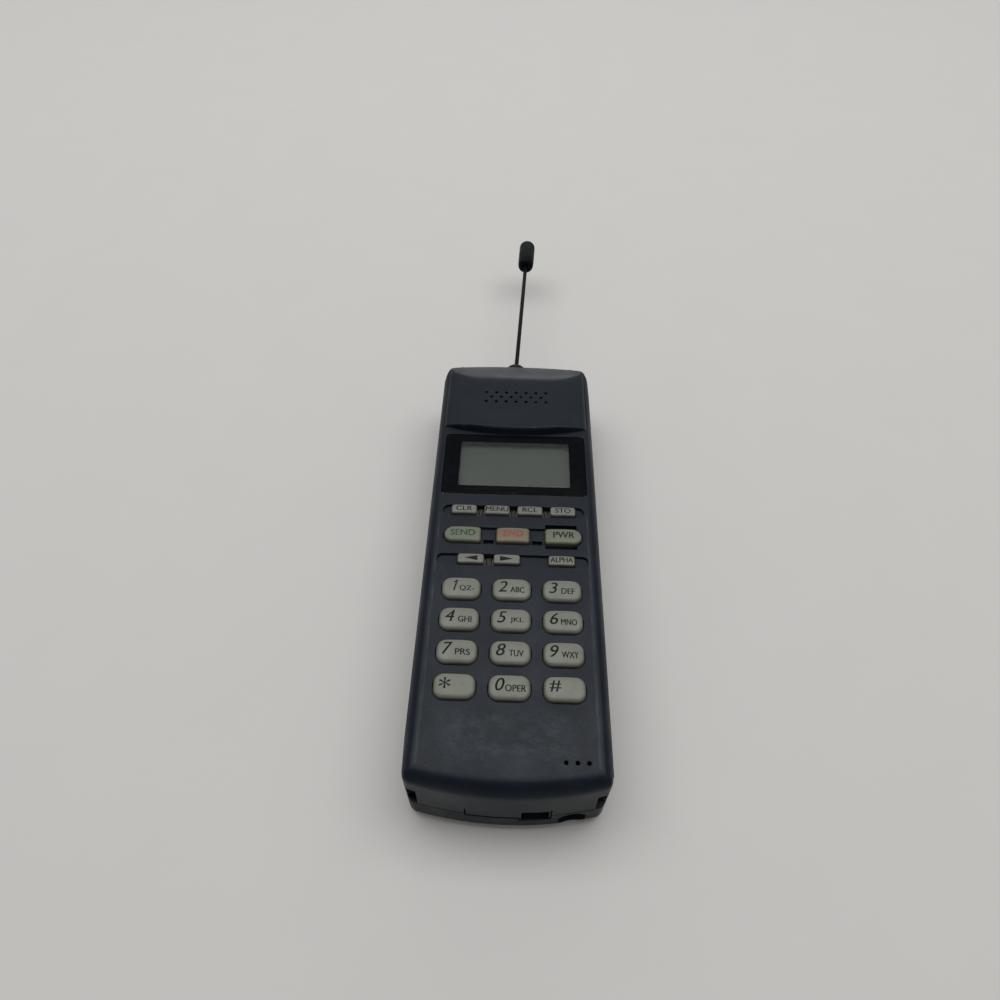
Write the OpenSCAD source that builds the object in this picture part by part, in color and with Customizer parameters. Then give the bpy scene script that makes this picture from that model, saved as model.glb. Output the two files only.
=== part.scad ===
// Brick cell phone: a bar phone with a pull-out whip antenna and a slide-off battery.
// X runs across the keypad, Y runs towards the antenna and Z rises out of the face.
// The origin is the middle of the flat back that the phone lies on.

/* [Body] */
// Width across the long sides
body_w = 57.4; // [56.8:0.1:58.5]
// Length from the foot to the head, without the antenna
body_l = 170; // [168:0.5:176]
// Height of the flat face above the back
face_z = 27; // [26.8:0.1:28.5]
// Height of the seam under the front housing
seam_z = 13.4; // [13.1:0.1:13.6]
// Wall thickness of the housings
wall = 2; // [1.8:0.1:2.2]
// Width of the rounded strip on each side of the flat face
edge_w = 3.2; // [2.9:0.05:3.25]
// Radius of the long upper edges
edge_r = 5; // [4.6:0.1:5.6]
// Radius of the lower edges along the back
back_r = 4; // [3:0.1:4.5]
// Radius of the four corners seen from above
corner_r = 7; // [6:0.1:8.2]
// Radius of the foot seen from above
foot_r = 112; // [100:1:140]
// Radius of the head seen from above
head_r = 105; // [100:1:140]
// How far the foot leans out from the rim down to the back
foot_lean = 1.6; // [1.2:0.1:1.8]
// Radius of the bevel above the foot, in side view
bevel_r = 9; // [8:0.1:10]
// Distance from the foot to the crease of that bevel
bevel_l = 5; // [4.7:0.05:5.6]
// Slope of the bevel at its crease, in degrees
bevel_slope = 32; // [26:1:35]
// Radius of the bevel's crease seen from above
bevel_plan_r = 130; // [115:1:170]
// Height of the seam between the front housing and the battery at the foot
foot_seam_z = 10.6; // [10.5:0.1:11.2]

/* [Hood] */
// Length of the raised earpiece hood
hood_l = 40.2; // [39.5:0.1:41]
// Height of the hood above the face
hood_h = 3; // [2.6:0.1:3.4]
// Radius of the hood's lip seen from above
lip_r = 100; // [85:1:120]
// Height of the slanted edge along the lip
lip_bevel = 0.5; // [0.4:0.1:1.2]
// How far the lip leans back from the face up to its edge
lip_lean = 0.6; // [0.3:0.1:0.9]
// Distance from the head to the crease of the slanted top
crown_l = 13; // [12:0.1:14]
// Pitch of the earpiece holes along a row
sound_pitch = 3.76; // [3.5:0.01:3.8]
// Distance between the rows of earpiece holes
sound_row = 2.45; // [2.2:0.05:2.6]
// Diameter of an earpiece hole
sound_d = 1.2; // [0.9:0.1:1.4]
// Distance from the head to the middle of the earpiece
sound_l = 23.2; // [22.8:0.1:24]

/* [Display] */
// Strip of the flat face left on each side of the display window
display_side = 0.3; // [0.3:0.05:1]
// Height of the display window
display_h = 28.2; // [27.6:0.1:28.6]
// Thickness of the display window
display_t = 1.2; // [1:0.1:1.3]
// Width of the black border on each side of the clear field
view_side = 5.65; // [5.5:0.05:6.7]
// Height of the clear field
view_h = 20.7; // [19.5:0.1:21]

/* [Keys] */
// Distance between the columns of number keys
pad_pitch_x = 15.68; // [15.4:0.01:15.8]
// Length of the face below the display that the row distances are set for
row_field_l = 101.2; // [100:0.1:102]
// Distance from the display to the row of four keys
memory_l = 6.95; // [6.8:0.05:7.2]
// Distance from the row of four keys to the call keys
call_l = 10.4; // [10.2:0.1:10.6]
// Distance from the call keys to the arrow keys
arrow_l = 9.5; // [9.2:0.1:9.8]
// Distance from the arrow keys to the first row of number keys
pad_l = 11.35; // [11.1:0.05:11.6]
// Distance between the rows of number keys
pad_pitch_y = 10.75; // [10.6:0.01:10.9]
// Width of a number key
pad_key_w = 12.1; // [11:0.1:12.4]
// Height of a number key
pad_key_h = 7.6; // [7:0.1:7.8]
// Corner radius of a number key
pad_key_r = 3.2; // [2:0.1:3.4]
// Rise of the number keys above the face
pad_rise = 1.6; // [1.2:0.1:1.9]
// Width of a small key
small_key_w = 8.45; // [7.8:0.05:8.6]
// Height of a small key
small_key_h = 3.5; // [3:0.1:3.6]
// Rise of the small keys above the face
small_rise = 1; // [0.6:0.1:1.3]
// Pitch of the four keys under the display
memory_pitch = 11.1; // [11:0.05:11.2]
// Width of a call key
call_key_w = 12.2; // [11.5:0.1:12.3]
// Height of a call key
call_key_h = 5.9; // [5.4:0.1:6]
// Distance of the outer call keys from the middle
call_x = 16.6; // [16.3:0.1:16.6]
// Rise of the call keys above the face
call_rise = 1.3; // [1:0.1:1.6]
// Gap between a key and its opening
key_gap = 0.25; // [0.15:0.05:0.3]
// How far a key travels when it is pressed
key_travel = 0.8; // [0.5:0.1:0.9]

/* [Antenna] */
// Lean of the whip to the right, in degrees
antenna_lean = 2.6; // [0:0.1:3]
// Diameter of the whip
rod_d = 1.7; // [1.4:0.1:1.7]
// Length of the bushing outside the head
collar_l = 6.6; // [5.6:0.1:8]
// Diameter of the bushing where it meets the head
collar_d = 8.8; // [8:0.1:8.8]
// Length of whip that shows when it is drawn out
rod_out = 73.5; // [66:0.5:76]
// Diameter of the tip
tip_d = 7.4; // [6.4:0.1:7.6]
// Length of the tip
tip_l = 18.5; // [15:0.5:19]

/* [Battery] */
// Distance from the head to the top end of the battery
battery_gap_l = 61; // [60:0.5:62]
// Thickness of the battery pack
battery_t = 8; // [7.8:0.1:8.1]
// Wall thickness of the battery case
case_wall = 1.6; // [1.4:0.1:1.7]
// Thickness of the deck between the phone and the battery
deck_t = 2.4; // [2.3:0.1:2.5]
// Room between the ends of the battery cells and the case
cell_side = 1.1; // [0.9:0.1:2]
// Gap between neighbouring battery cells
cell_gap = 0.4; // [0.2:0.1:1]
// Number of battery cells
cell_count = 5; // [4:1:5]
// Radius of the charging socket
jack_r = 4; // [3.6:0.1:4.1]
// Distance of the charging socket from the side of the body
jack_side = 10.2; // [9.9:0.1:11.1]

/* [Hidden] */
$fn = 64;
// Clearance between pieces that only sit side by side
fit_gap = 0.15;
// Clearance between pieces that slide past each other
run_gap = 0.3;
// Tiny overlap that keeps cuts and joins clean
eps = 0.1;
hw = body_w / 2;
face_w = body_w - 2 * edge_w;
y_head = body_l / 2;
head_out = 0.6;
y_foot = -body_l / 2;
ceiling_z = face_z - wall;
rim_z = 24;
hood_z = face_z + hood_h;
y_lip = y_head - hood_l;
lip_low_r = lip_r + lip_lean * face_z / hood_h;
lip_top_r = lip_r - lip_lean * (hood_h - lip_bevel) / hood_h;
lip_end_r = lip_top_r - lip_bevel - 1 + eps;
y_crown = y_head - crown_l;
bevel_y = y_foot + bevel_l + bevel_r * sin(bevel_slope);
bevel_z = face_z - bevel_r * cos(bevel_slope);
sound_y = y_head - sound_l;
mic_x = hw - 10.04;
mic_y = y_foot + 10.45;
mic_pitch = 3.08;

display_gap = 0.4;
display_w = face_w - 2 * display_side;
view_w = display_w - 2 * view_side;
display_y = y_lip - display_gap - display_h / 2;
view_y = display_y + 0.35;
display_z = face_z - display_t - fit_gap;
display_low_y = display_y - display_h / 2;
key_field_l = display_low_y - y_foot;
row_fit = key_field_l / row_field_l;
memory_y = display_low_y - memory_l * row_fit;
call_y = memory_y - call_l * row_fit;
arrow_y = call_y - arrow_l * row_fit;
pad_y = arrow_y - pad_l * row_fit;
pad_step = pad_pitch_y * row_fit;
left_x = -13.4;
right_x = -1.8;
alpha_x = 15.8;
end_key_w = 11;
groove_d = 1;
groove_edge = 0.4;

key_flange = 0.6;
key_flange_t = 0.9;
flange_z = ceiling_z - fit_gap - key_flange_t;
crown_r = 60;
mat_t = 1.1;
mat_z = ceiling_z - fit_gap - mat_t;
mat_rim = 1;
mat_w = 2 * (hw - wall - 1.7);
mat_top_y = memory_y + small_key_h / 2 + 2.4;
mat_low_y = pad_y - 3 * pad_step - pad_key_h / 2 - 2.5;
pad_board_t = 1.2;
pad_board_top = ceiling_z - 4.2;
pad_board_z = pad_board_top - pad_board_t;
stem_z = pad_board_top + key_travel + 0.2;

tube_r = 1.5;
tube_bore = 1.2;
antenna_x = -0.45;
antenna_z = pad_board_z - 0.2 - tube_r;
board_t = 1.6;
board_z = antenna_z - tube_r - 0.2 - board_t;
board_top = board_z + board_t;
board_side = 1.5;
board_w = 2 * (hw - wall - board_side);
board_foot_y = y_foot + 9.5;
board_head_y = y_head - 7;

y_split = y_head - battery_gap_l;
battery_top = battery_t;
deck_z = battery_top + 0.2;
deck_top = deck_z + deck_t;
deck_foot_y = y_foot + 6.2;
end_wall_y = deck_foot_y - run_gap;
battery_head_y = y_split - 0.4;
lid_t = 1;
lid_z = battery_top - lid_t;
case_floor = 1.2;
pocket_depth = 1.7;
case_head_wall = pocket_depth + 1.3;
ledge_w = 1.8;
cell_h = lid_z - case_floor - 0.2;
cell_l = 2 * (hw - case_wall - ledge_w - cell_side);
cell_head_y = battery_head_y - case_head_wall - 0.3;
cell_foot_y = end_wall_y + 12.4;
cell_pitch = (cell_head_y - cell_foot_y + cell_gap) / cell_count;
cell_w = cell_pitch - cell_gap;
rail_x = 16;
rail_stem_w = 2.4;
rail_head_w = 4.6;
rail_head_h = 0.8;
rail_foot_y = y_foot + 25;
rail_head_y = y_split - 13;
channel_roof = 0.9;
rail_head_z = deck_z + 1.2;

jack_x = hw - jack_side;
jack_z = 5.4;
jack_depth = 3.2;
jack_mouth_y = y_foot + foot_r - sqrt(pow(foot_r, 2) - pow(jack_x, 2)) + foot_lean * jack_z / rim_z;
jack_floor_y = jack_mouth_y + jack_depth;
jack_insert_r = 1.4;
jack_pin_r = 0.45;

link_left = -11.3;
link_right = 12.3;
link_open_left = 3.8;
link_wall = 0.4;
link_face_y = y_foot + 1.6;
link_strip_z = foot_seam_z - 1.4;
link_low_z = deck_z + 0.1;
link_notch_z = deck_z - 0.8;
link_top_z = foot_seam_z + 2.9;
link_gap = 0.4;

screw_x = hw - 6;
screw_foot_l = 19;
screw_foot_y = y_foot + screw_foot_l * row_fit;
screw_head_y = y_head - 15;
screw_r = 1;
screw_head_r = 2;
screw_head_h = 1.4;
screw_tip_z = seam_z + 5;
boss_r = 2.4;

ringer_x = -12;
ringer_y = y_head - 32;
latch_w = 14;
latch_l = 7.6;
latch_y = y_split + 8.2;
latch_travel = 1.2;
nose_w = 8;

terminal_y = y_split - 9;
terminal_pitch = 3.4;

// Points along an arc, without its last point
function arc(cx, cy, r, from, to, steps) = [
  for (i = [0 : steps - 1])
    let (a = from + (to - from) * i / steps)
    [cx + r * cos(a), cy + r * sin(a)]
];

// Outline of the body seen from above, drawn in by inset
function plan_points(inset) =
  let (
    half = hw - inset,
    rc = corner_r - inset,
    rf = foot_r - inset,
    rh = head_r - inset,
    yf = y_foot + foot_r - 0.3,
    yh = y_head + head_out - head_r,
    cx = half - rc,
    af = asin(cx / (rf - rc)),
    ah = asin(cx / (rh - rc)),
    cyf = yf - (rf - rc) * cos(af),
    cyh = yh + (rh - rc) * cos(ah)
  )
  concat(
    arc(cx, cyf, rc, -90 + af, 0, 8),
    arc(cx, cyh, rc, 0, 90 - ah, 8),
    arc(0, yh, rh, 90 - ah, 90 + ah, 20),
    arc(-cx, cyh, rc, 90 + ah, 180, 8),
    arc(-cx, cyf, rc, 180, 270 - af, 8),
    arc(0, yf, rf, 270 - af, 270 + af, 20)
  );

// Side view of the slanted head, from the plateau of the hood round to the end wall
function head_points(inset) =
  let (
    from_slope = 15,
    to_slope = 30,
    nose_r = 2.6,
    end_y = y_head + head_out + 0.3,
    nose_y = end_y - nose_r * (1 - sin(to_slope)),
    sweep_r = (nose_y - y_crown) / (sin(to_slope) - sin(from_slope)),
    cy = y_crown - sweep_r * sin(from_slope),
    cz = hood_z - sweep_r * cos(from_slope),
    nose_z = cz + sweep_r * cos(to_slope) - nose_r * cos(to_slope)
  )
  concat(
    [[y_foot - 20, -10], [y_foot - 20, hood_z]],
    arc(cy, cz, sweep_r, 90 - from_slope, 90 - to_slope, 8),
    arc(nose_y - nose_r * sin(to_slope), nose_z, nose_r, 90 - to_slope, 0, 6),
    [[end_y, nose_z], [end_y, -10]]
  );

// Cross-section of the hood: a flat crown that falls softly to both sides
function hood_half() =
  let (
    flat = 15,
    from_slope = 4,
    mid_slope = 16,
    end_slope = 80,
    shoulder_x = 24,
    shoulder_r = 4.2,
    fall_r = (shoulder_x - flat) / (sin(mid_slope) - sin(from_slope)),
    cx = flat - fall_r * sin(from_slope),
    cz = hood_z - fall_r * cos(from_slope),
    sx = shoulder_x - shoulder_r * sin(mid_slope),
    sz = cz + (fall_r - shoulder_r) * cos(mid_slope)
  )
  concat(
    arc(cx, cz, fall_r, 90 - from_slope, 90 - mid_slope, 6),
    arc(sx, sz, shoulder_r, 90 - mid_slope, 90 - end_slope, 8),
    [[sx + shoulder_r, sz - 2], [sx + shoulder_r, face_z - 8]]
  );

// Rounded rectangle
module rounded(w, h, r) {
  square([w - 2 * r, h], center = true);
  square([w, h - 2 * r], center = true);
  for (sx = [-1, 1], sy = [-1, 1])
    translate([sx * (w / 2 - r), sy * (h / 2 - r)])
      circle(r);
}

// Rounded rectangle with its own radius at the left and at the right end
module key_plan(w, h, left_r, right_r) {
  translate([-w / 2 + left_r, -h / 2])
    square([w - left_r - right_r, h]);
  for (side = [-1, 1]) {
    r = side < 0 ? left_r : right_r;
    for (up = [-1, 1])
      translate([side * (w / 2 - r), up * (h / 2 - r)])
        circle(r);
    if (h - 2 * r > 0.05)
      translate([side * (w / 2 - r / 2), 0])
        square([r, h - 2 * r], center = true);
  }
}

module slab(z0, z1) {
  translate([0, 0, z0])
    linear_extrude(z1 - z0)
      children();
}

module block(x0, x1, y0, y1, z0, z1) {
  translate([x0, y0, z0])
    cube([x1 - x0, y1 - y0, z1 - z0]);
}

// Extrudes a drawing of X against Z along the whole length
module along_y() {
  rotate([90, 0, 0])
    linear_extrude(2 * body_l, center = true)
      children();
}

// Extrudes a drawing of Y against Z across the whole width
module along_x() {
  rotate([90, 0, 90])
    linear_extrude(2 * body_w, center = true)
      children();
}

module plan_prism(inset, z0, z1) {
  slab(z0, z1)
    polygon(plan_points(inset));
}

// Round foot that leans outwards towards the back
module foot_cone(inset) {
  lean = foot_lean / rim_z;
  translate([0, y_foot + foot_r, -1])
    cylinder(h = 41, r1 = foot_r - inset + lean, r2 = foot_r - inset - 40 * lean, $fn = 180);
}

// The same foot with a rounded lower edge that follows its curve
module foot_round() {
  lean = foot_lean / rim_z;
  low_r = foot_r - lean * back_r;
  translate([0, y_foot + foot_r, 0])
    rotate_extrude($fn = 180)
      union() {
        polygon([[0, back_r], [low_r, back_r], [foot_r - lean * 30, 30], [0, 30]]);
        square([low_r - back_r, back_r + 1]);
        intersection() {
          translate([low_r - back_r, back_r])
            circle(back_r);
          square([foot_r + 5, back_r]);
        }
      }
}

// Round head with a rounded lower edge
module head_round() {
  low_r = head_r + fit_gap;
  translate([0, y_head + head_out - head_r, 0])
    rotate_extrude($fn = 180)
      union() {
        translate([0, back_r])
          square([low_r, 30]);
        square([low_r - back_r, back_r + 1]);
        intersection() {
          translate([low_r - back_r, back_r])
            circle(back_r);
          square([head_r + 5, back_r]);
        }
      }
}

// Cross-section of the front: a flat face with rounded long edges
module face_section(inset) {
  cx = hw + fit_gap - edge_r;
  cz = face_z - sqrt(pow(edge_r, 2) - pow(face_w / 2 - cx, 2));
  intersection() {
    union() {
      translate([-cx, -5])
        square([2 * cx, face_z + 10]);
      translate([-cx - edge_r + inset, -5])
        square([2 * (cx + edge_r - inset), cz + 5]);
      for (side = [-1, 1])
        translate([side * cx, cz])
          circle(edge_r - inset);
    }
    translate([-body_w, -6])
      square([2 * body_w, face_z - inset + 6]);
  }
}

// The face ends in a bevel above the foot that is turned about a point far up the body
module foot_bevel(inset) {
  turn_r = bevel_plan_r - (bevel_y - y_foot);
  translate([0, y_foot + bevel_plan_r, 0])
    rotate_extrude($fn = 180)
      intersection() {
        union() {
          translate([0, -5])
            square([turn_r, face_z + 10]);
          translate([0, -5])
            square([bevel_plan_r + 20, bevel_z + 5]);
          translate([turn_r, bevel_z])
            circle(bevel_r - inset);
        }
        translate([0, -6])
          square([bevel_plan_r + 30, face_z - inset + 6]);
      }
}

// Cross-section of the back: a flat rest with rounded lower edges
module back_section() {
  half = hw + fit_gap;
  translate([-half, back_r])
    square([2 * half, face_z]);
  translate([-half + back_r, 0])
    square([2 * (half - back_r), face_z]);
  for (side = [-1, 1])
    translate([side * (half - back_r), back_r])
      circle(back_r);
}

// Frame of the whip: its own Y axis runs along the whip from the head wall
module on_antenna() {
  translate([antenna_x, y_head, antenna_z])
    rotate([0, 0, -antenna_lean])
      children();
}

// A cylinder or cone along the whip, from start to end
module antenna_round(start, end, r0, r1) {
  on_antenna()
    translate([0, start, 0])
      rotate([-90, 0, 0])
        cylinder(h = end - start, r1 = r0, r2 = r1);
}

module at_screws() {
  for (side = [-1, 1], y = [screw_foot_y, screw_head_y])
    translate([side * screw_x, y, 0])
      children();
}

// Places of the twelve number keys, counted from the upper left
module at_pad(column, row) {
  translate([(column - 1) * pad_pitch_x, pad_y - row * pad_step, 0])
    children();
}

// Openings for all keys, each grown by grow on every side
module key_openings(grow) {
  for (column = [0 : 2], row = [0 : 3])
    translate([(column - 1) * pad_pitch_x, pad_y - row * pad_step])
      rounded(pad_key_w + 2 * grow, pad_key_h + 2 * grow, pad_key_r + grow);
  for (side = [-1, 1])
    translate([side * call_x, call_y])
      mirror([side > 0 ? 1 : 0, 0])
        key_plan(call_key_w + 2 * grow, call_key_h + 2 * grow, call_key_h / 2 + grow, 1 + grow);
  translate([0, call_y])
    rounded(end_key_w + 2 * grow, call_key_h + 2 * grow, 1 + grow);
  translate([alpha_x, arrow_y])
    rounded(small_key_w + 2 * grow, small_key_h + 2 * grow, 0.8 + grow);
}

// The small keys under the display and the two arrows share long slots
module small_openings(grow) {
  for (i = [-1.5 : 1 : 1.5])
    translate([i * memory_pitch, memory_y])
      rounded(small_key_w + 2 * grow, small_key_h + 2 * grow, 0.8 + grow);
  for (x = [left_x, right_x])
    translate([x, arrow_y])
      rounded(small_key_w + 2 * grow, small_key_h + 2 * grow, 0.8 + grow);
}

module shared_slots() {
  translate([0, memory_y])
    rounded(3 * memory_pitch + small_key_w + 2 * key_gap, small_key_h + 2 * key_gap, 1);
  translate([(left_x + right_x) / 2, arrow_y])
    rounded(right_x - left_x + small_key_w + 2 * key_gap, small_key_h + 2 * key_gap, 1);
}

// Long shallow grooves that the three rows of function keys sit in
module key_grooves() {
  memory_h = small_key_h + 2 * groove_edge;
  call_h = call_key_h + 2 * groove_edge;
  translate([0, memory_y])
    rounded(2 * (hw - 4.9), memory_h, memory_h / 2 - 0.05);
  translate([0, call_y])
    rounded(2 * (call_x + call_key_w / 2 + groove_edge), call_h, call_h / 2 - 0.05);
  translate([0, arrow_y])
    rounded(2 * (hw - 4.2), memory_h, memory_h / 2 - 0.05);
}

// Slots above and below the power key that guard it
module guard_slots() {
  for (up = [-1, 1])
    translate([call_x - 0.75, call_y + up * (call_key_h / 2 + groove_edge + 0.4)])
      square([10.3, 1.1], center = true);
}

// Wells in the groove on both sides of the end key
module call_wells() {
  well_x = (call_x - call_key_w / 2 + end_key_w / 2) / 2;
  for (side = [-1, 1])
    translate([side * well_x, call_y - call_key_h / 2 + 0.3])
      square([3.4, 1.4], center = true);
}

module sound_holes() {
  for (row = [-1 : 1]) {
    count = row == 0 ? 6 : 7;
    for (i = [0 : count - 1])
      translate([(i - (count - 1) / 2) * sound_pitch, sound_y + row * sound_row, ceiling_z])
        cylinder(d = sound_d, h = 10);
  }
}

// The front reaches further down at the foot, where it meets the battery
module front_outline() {
  plan_prism(0, seam_z, hood_z + 5);
  intersection() {
    plan_prism(0, foot_seam_z, seam_z + eps);
    block(-body_w, body_w, y_foot - 5, deck_foot_y - fit_gap, foot_seam_z, seam_z + eps);
  }
}

module front_form() {
  intersection() {
    front_outline();
    foot_cone(0);
    along_x()
      polygon(head_points(0));
    union() {
      intersection() {
        along_y()
          face_section(0);
        foot_bevel(0);
      }
      intersection() {
        along_y()
          for (side = [0, 1])
            mirror([side, 0])
              polygon(concat([[-1, hood_z]], hood_half(), [[-1, face_z - 8]]));
        translate([0, y_lip + lip_r, 0]) {
          cylinder(h = hood_z - lip_bevel, r1 = lip_low_r, r2 = lip_top_r, $fn = 180);
          translate([0, 0, hood_z - lip_bevel - eps])
            cylinder(h = lip_bevel + 1, r1 = lip_top_r + eps, r2 = lip_end_r, $fn = 180);
        }
      }
    }
  }
}

module front_hollow() {
  intersection() {
    plan_prism(wall, foot_seam_z - 1, ceiling_z);
    foot_cone(wall);
    along_x()
      translate([-wall, -hood_h - wall / 2])
        polygon(head_points(0));
    along_y()
      face_section(wall);
    foot_bevel(wall);
  }
}

// Pockets in the foot's corners that guide a desk stand, kept as solid corners inside
module foot_corners(grow, top) {
  for (side = [-1, 1])
    mirror([side < 0 ? 1 : 0, 0, 0])
      block(hw - 4 - grow, hw + 5, y_foot - 5, y_foot + 6.3 + grow, foot_seam_z - 2, top);
}

module front_housing() {
  color("dimgray")
    difference() {
      union() {
        difference() {
          front_form();
          difference() {
            front_hollow();
            foot_corners(1.6, foot_seam_z + 10.2);
          }
        }
        at_screws()
          slab(seam_z, ceiling_z + eps)
            circle(boss_r);
        translate([0, sound_y, 0])
          slab(ceiling_z - 2.4, ceiling_z + eps)
            circle(14.7);
      }
      // Recess and opening of the display
      translate([0, display_y, 0])
        slab(display_z, face_z + 1)
          rounded(display_w + 2 * fit_gap, display_h + 2 * fit_gap, 1.6);
      translate([0, view_y, 0])
        slab(ceiling_z - 1, face_z)
          rounded(view_w + 2.4, view_h + 2, 1);
      // Grooves and openings of the keys
      slab(face_z - groove_d, face_z + 1)
        key_grooves();
      slab(face_z - 1.6, face_z + 1)
        guard_slots();
      slab(ceiling_z - 1, face_z + 1)
        key_openings(key_gap);
      slab(ceiling_z - 1, face_z + 1)
        shared_slots();
      slab(ceiling_z - 1, face_z + 1)
        call_wells();
      // Seat of the earpiece and the holes for sound
      translate([0, sound_y, 0])
        slab(ceiling_z - 5, hood_z - 1.8)
          circle(13.5);
      sound_holes();
      for (i = [-1 : 1])
        translate([mic_x + i * mic_pitch, mic_y, ceiling_z - 1])
          cylinder(d = 1.3, h = 6);
      // Corner pockets, the notch of the connector and the hole of the antenna
      foot_corners(0, foot_seam_z + 8.6);
      block(
        link_left - run_gap, link_right + run_gap, y_foot - 5, y_foot + 12,
        foot_seam_z - 1, link_top_z + link_gap
      );
      antenna_round(-8, 3, 3.1, 3.1);
      antenna_round(-0.4, 4, collar_d / 2 + 0.3, collar_d / 2 + 0.3);
      at_screws()
        slab(seam_z - 1, screw_tip_z + 0.6)
          circle(screw_r + 0.05);
    }
}

module rear_form() {
  intersection() {
    plan_prism(0, -1, seam_z);
    along_y()
      back_section();
    head_round();
  }
}

// Rails of the battery, or the channels in the deck when grown
module battery_rails(grow, y0, y1) {
  for (side = [-1, 1])
    translate([side * rail_x, 0, 0]) {
      block(-rail_stem_w / 2 - grow, rail_stem_w / 2 + grow, y0, y1, battery_top - eps, rail_head_z + eps);
      block(
        -rail_head_w / 2 - grow, rail_head_w / 2 + grow, y0, y1,
        rail_head_z - grow / 2, rail_head_z + rail_head_h + grow
      );
    }
}

module rear_housing() {
  color("darkslategray")
    difference() {
      union() {
        difference() {
          rear_form();
          // Bay of the battery and the open foot
          block(-body_w, body_w, y_foot - 5, y_split, -5, deck_z);
          block(-body_w, body_w, y_foot - 5, deck_foot_y, -5, seam_z + 5);
          // Room above the deck and the deeper room behind the hood
          intersection() {
            plan_prism(wall, wall, seam_z + 5);
            union() {
              block(-body_w, body_w, y_split + wall, y_head, wall, seam_z + 5);
              block(-body_w, body_w, deck_foot_y + wall, y_head, deck_top, seam_z + 5);
            }
          }
        }
        // Tongues that line up the front housing
        for (side = [-1, 1])
          mirror([side < 0 ? 1 : 0, 0, 0])
            translate([hw - wall, 0, 0]) {
              block(-1.35, -fit_gap, y_foot + 24, y_head - 20, seam_z - 2, seam_z + 1.4);
              block(-1.35, eps, y_foot + 24, y_head - 20, seam_z - 2, seam_z - 0.5);
            }
        // Posts under the main board
        for (side = [-1, 1], y = [y_foot + 30, y_foot + 70])
          translate([side * (hw - 6.5), y, 0])
            slab(deck_top - 1, board_z)
              circle(1.8);
        // Roofs over the rail channels
        for (side = [-1, 1])
          translate([side * rail_x, 0, 0])
            block(
              -rail_head_w / 2 - 1.3, rail_head_w / 2 + 1.3, deck_foot_y, rail_head_y + 2,
              deck_top - 1, rail_head_z + rail_head_h + run_gap + channel_roof
            );
        // Seats of the screws, as tubes in the deeper room
        for (side = [-1, 1]) {
          translate([side * screw_x, screw_foot_y, 0])
            slab(deck_top - 1, seam_z)
              circle(screw_head_r + 1.4);
          translate([side * screw_x, screw_head_y, 0])
            slab(wall - eps, seam_z)
              circle(screw_head_r + 1.4);
        }
        // Posts under the main board beside the room
        for (side = [-1, 1])
          translate([side * 10, y_head - 11, 0])
            slab(wall - eps, board_z)
              circle(1.8);
      }
      battery_rails(run_gap, y_foot - 5, rail_head_y + run_gap);
      at_screws()
        slab(-1, deck_z + screw_head_h)
          circle(screw_head_r + 0.2);
      at_screws()
        slab(deck_z, seam_z + 1)
          circle(screw_r + 0.2);
      // Sound slots, window of the terminals, notch of the connector, opening and slot of the latch
      for (i = [-1 : 1])
        translate([ringer_x + i * 3, ringer_y, 0])
          slab(-1, wall + 1)
            rounded(1.2, 7, 0.55);
      block(-8, 8, terminal_y - 3.4, terminal_y + 3.4, deck_z - 1, seam_z + 1);
      block(link_left - run_gap, link_right + run_gap, y_foot - 5, y_foot + 14.5, deck_z - 1, seam_z + 5);
      translate([0, latch_y, 0])
        slab(-1, wall + 1)
          rounded(latch_w + 2 * run_gap, latch_l + 2 * run_gap, 1.2);
      block(-nose_w / 2 - run_gap, nose_w / 2 + run_gap, y_split - 1, y_split + wall + 1, 2.8, 6.4);
    }
}

module display_window() {
  color("black")
    translate([0, display_y, 0])
      slab(display_z, display_z + display_t)
        rounded(display_w, display_h, 1.4);
}

module lcd_glass() {
  color("darkseagreen")
    translate([0, view_y, 0])
      slab(pad_board_top + 1, ceiling_z - 0.2)
        rounded(view_w + 3.9, view_h + 3.3, 0.4);
}

// Moulded tray that carries the display glass on the keypad board
module lcd_frame() {
  color("ivory")
    translate([0, view_y, 0])
      difference() {
        slab(pad_board_top, ceiling_z - 0.8)
          rounded(view_w + 7.4, view_h + 6.2, 1);
        slab(pad_board_top + 1, ceiling_z)
          rounded(view_w + 4.2, view_h + 3.6, 0.5);
        slab(pad_board_top - 1, pad_board_top + 2)
          rounded(view_w - 8, view_h - 8, 1);
      }
}

// Rubber mat under the keys, with a window for each key and a rim on the board
module keypad_mat() {
  mid_y = (mat_top_y + mat_low_y) / 2;
  mat_h = mat_top_y - mat_low_y;
  color("darkolivegreen")
    difference() {
      translate([0, mid_y, 0])
        difference() {
          slab(pad_board_top, mat_z + mat_t)
            rounded(mat_w, mat_h, 1.5);
          slab(pad_board_top - 1, mat_z)
            rounded(mat_w - 2 * mat_rim, mat_h - 2 * mat_rim, 1);
        }
      slab(mat_z - 1, ceiling_z + 1)
        key_openings(key_flange + 0.25);
      slab(mat_z - 1, ceiling_z + 1)
        small_openings(key_flange + 0.25);
    }
}

module keypad_board() {
  low_y = mat_low_y - 1;
  top_y = view_y + view_h / 2 + 4;
  color("seagreen")
    translate([0, (low_y + top_y) / 2, 0])
      slab(pad_board_z, pad_board_top)
        rounded(mat_w + 1.6, top_y - low_y, 1);
}

module main_board() {
  color("green")
    difference() {
      translate([0, (board_foot_y + board_head_y) / 2, 0])
        slab(board_z, board_top)
          rounded(board_w, board_head_y - board_foot_y, 3);
      at_screws()
        slab(board_z - 1, board_top + 1)
          circle(boss_r + run_gap);
    }
}

// Plug and socket that join the two boards
module board_link() {
  color("black")
    translate([12, pad_y - pad_step, 0])
      union() {
        slab(board_top, pad_board_z - 0.9)
          rounded(16, 5, 0.4);
        slab(board_top, pad_board_z)
          rounded(14.6, 3.6, 0.4);
      }
}

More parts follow.
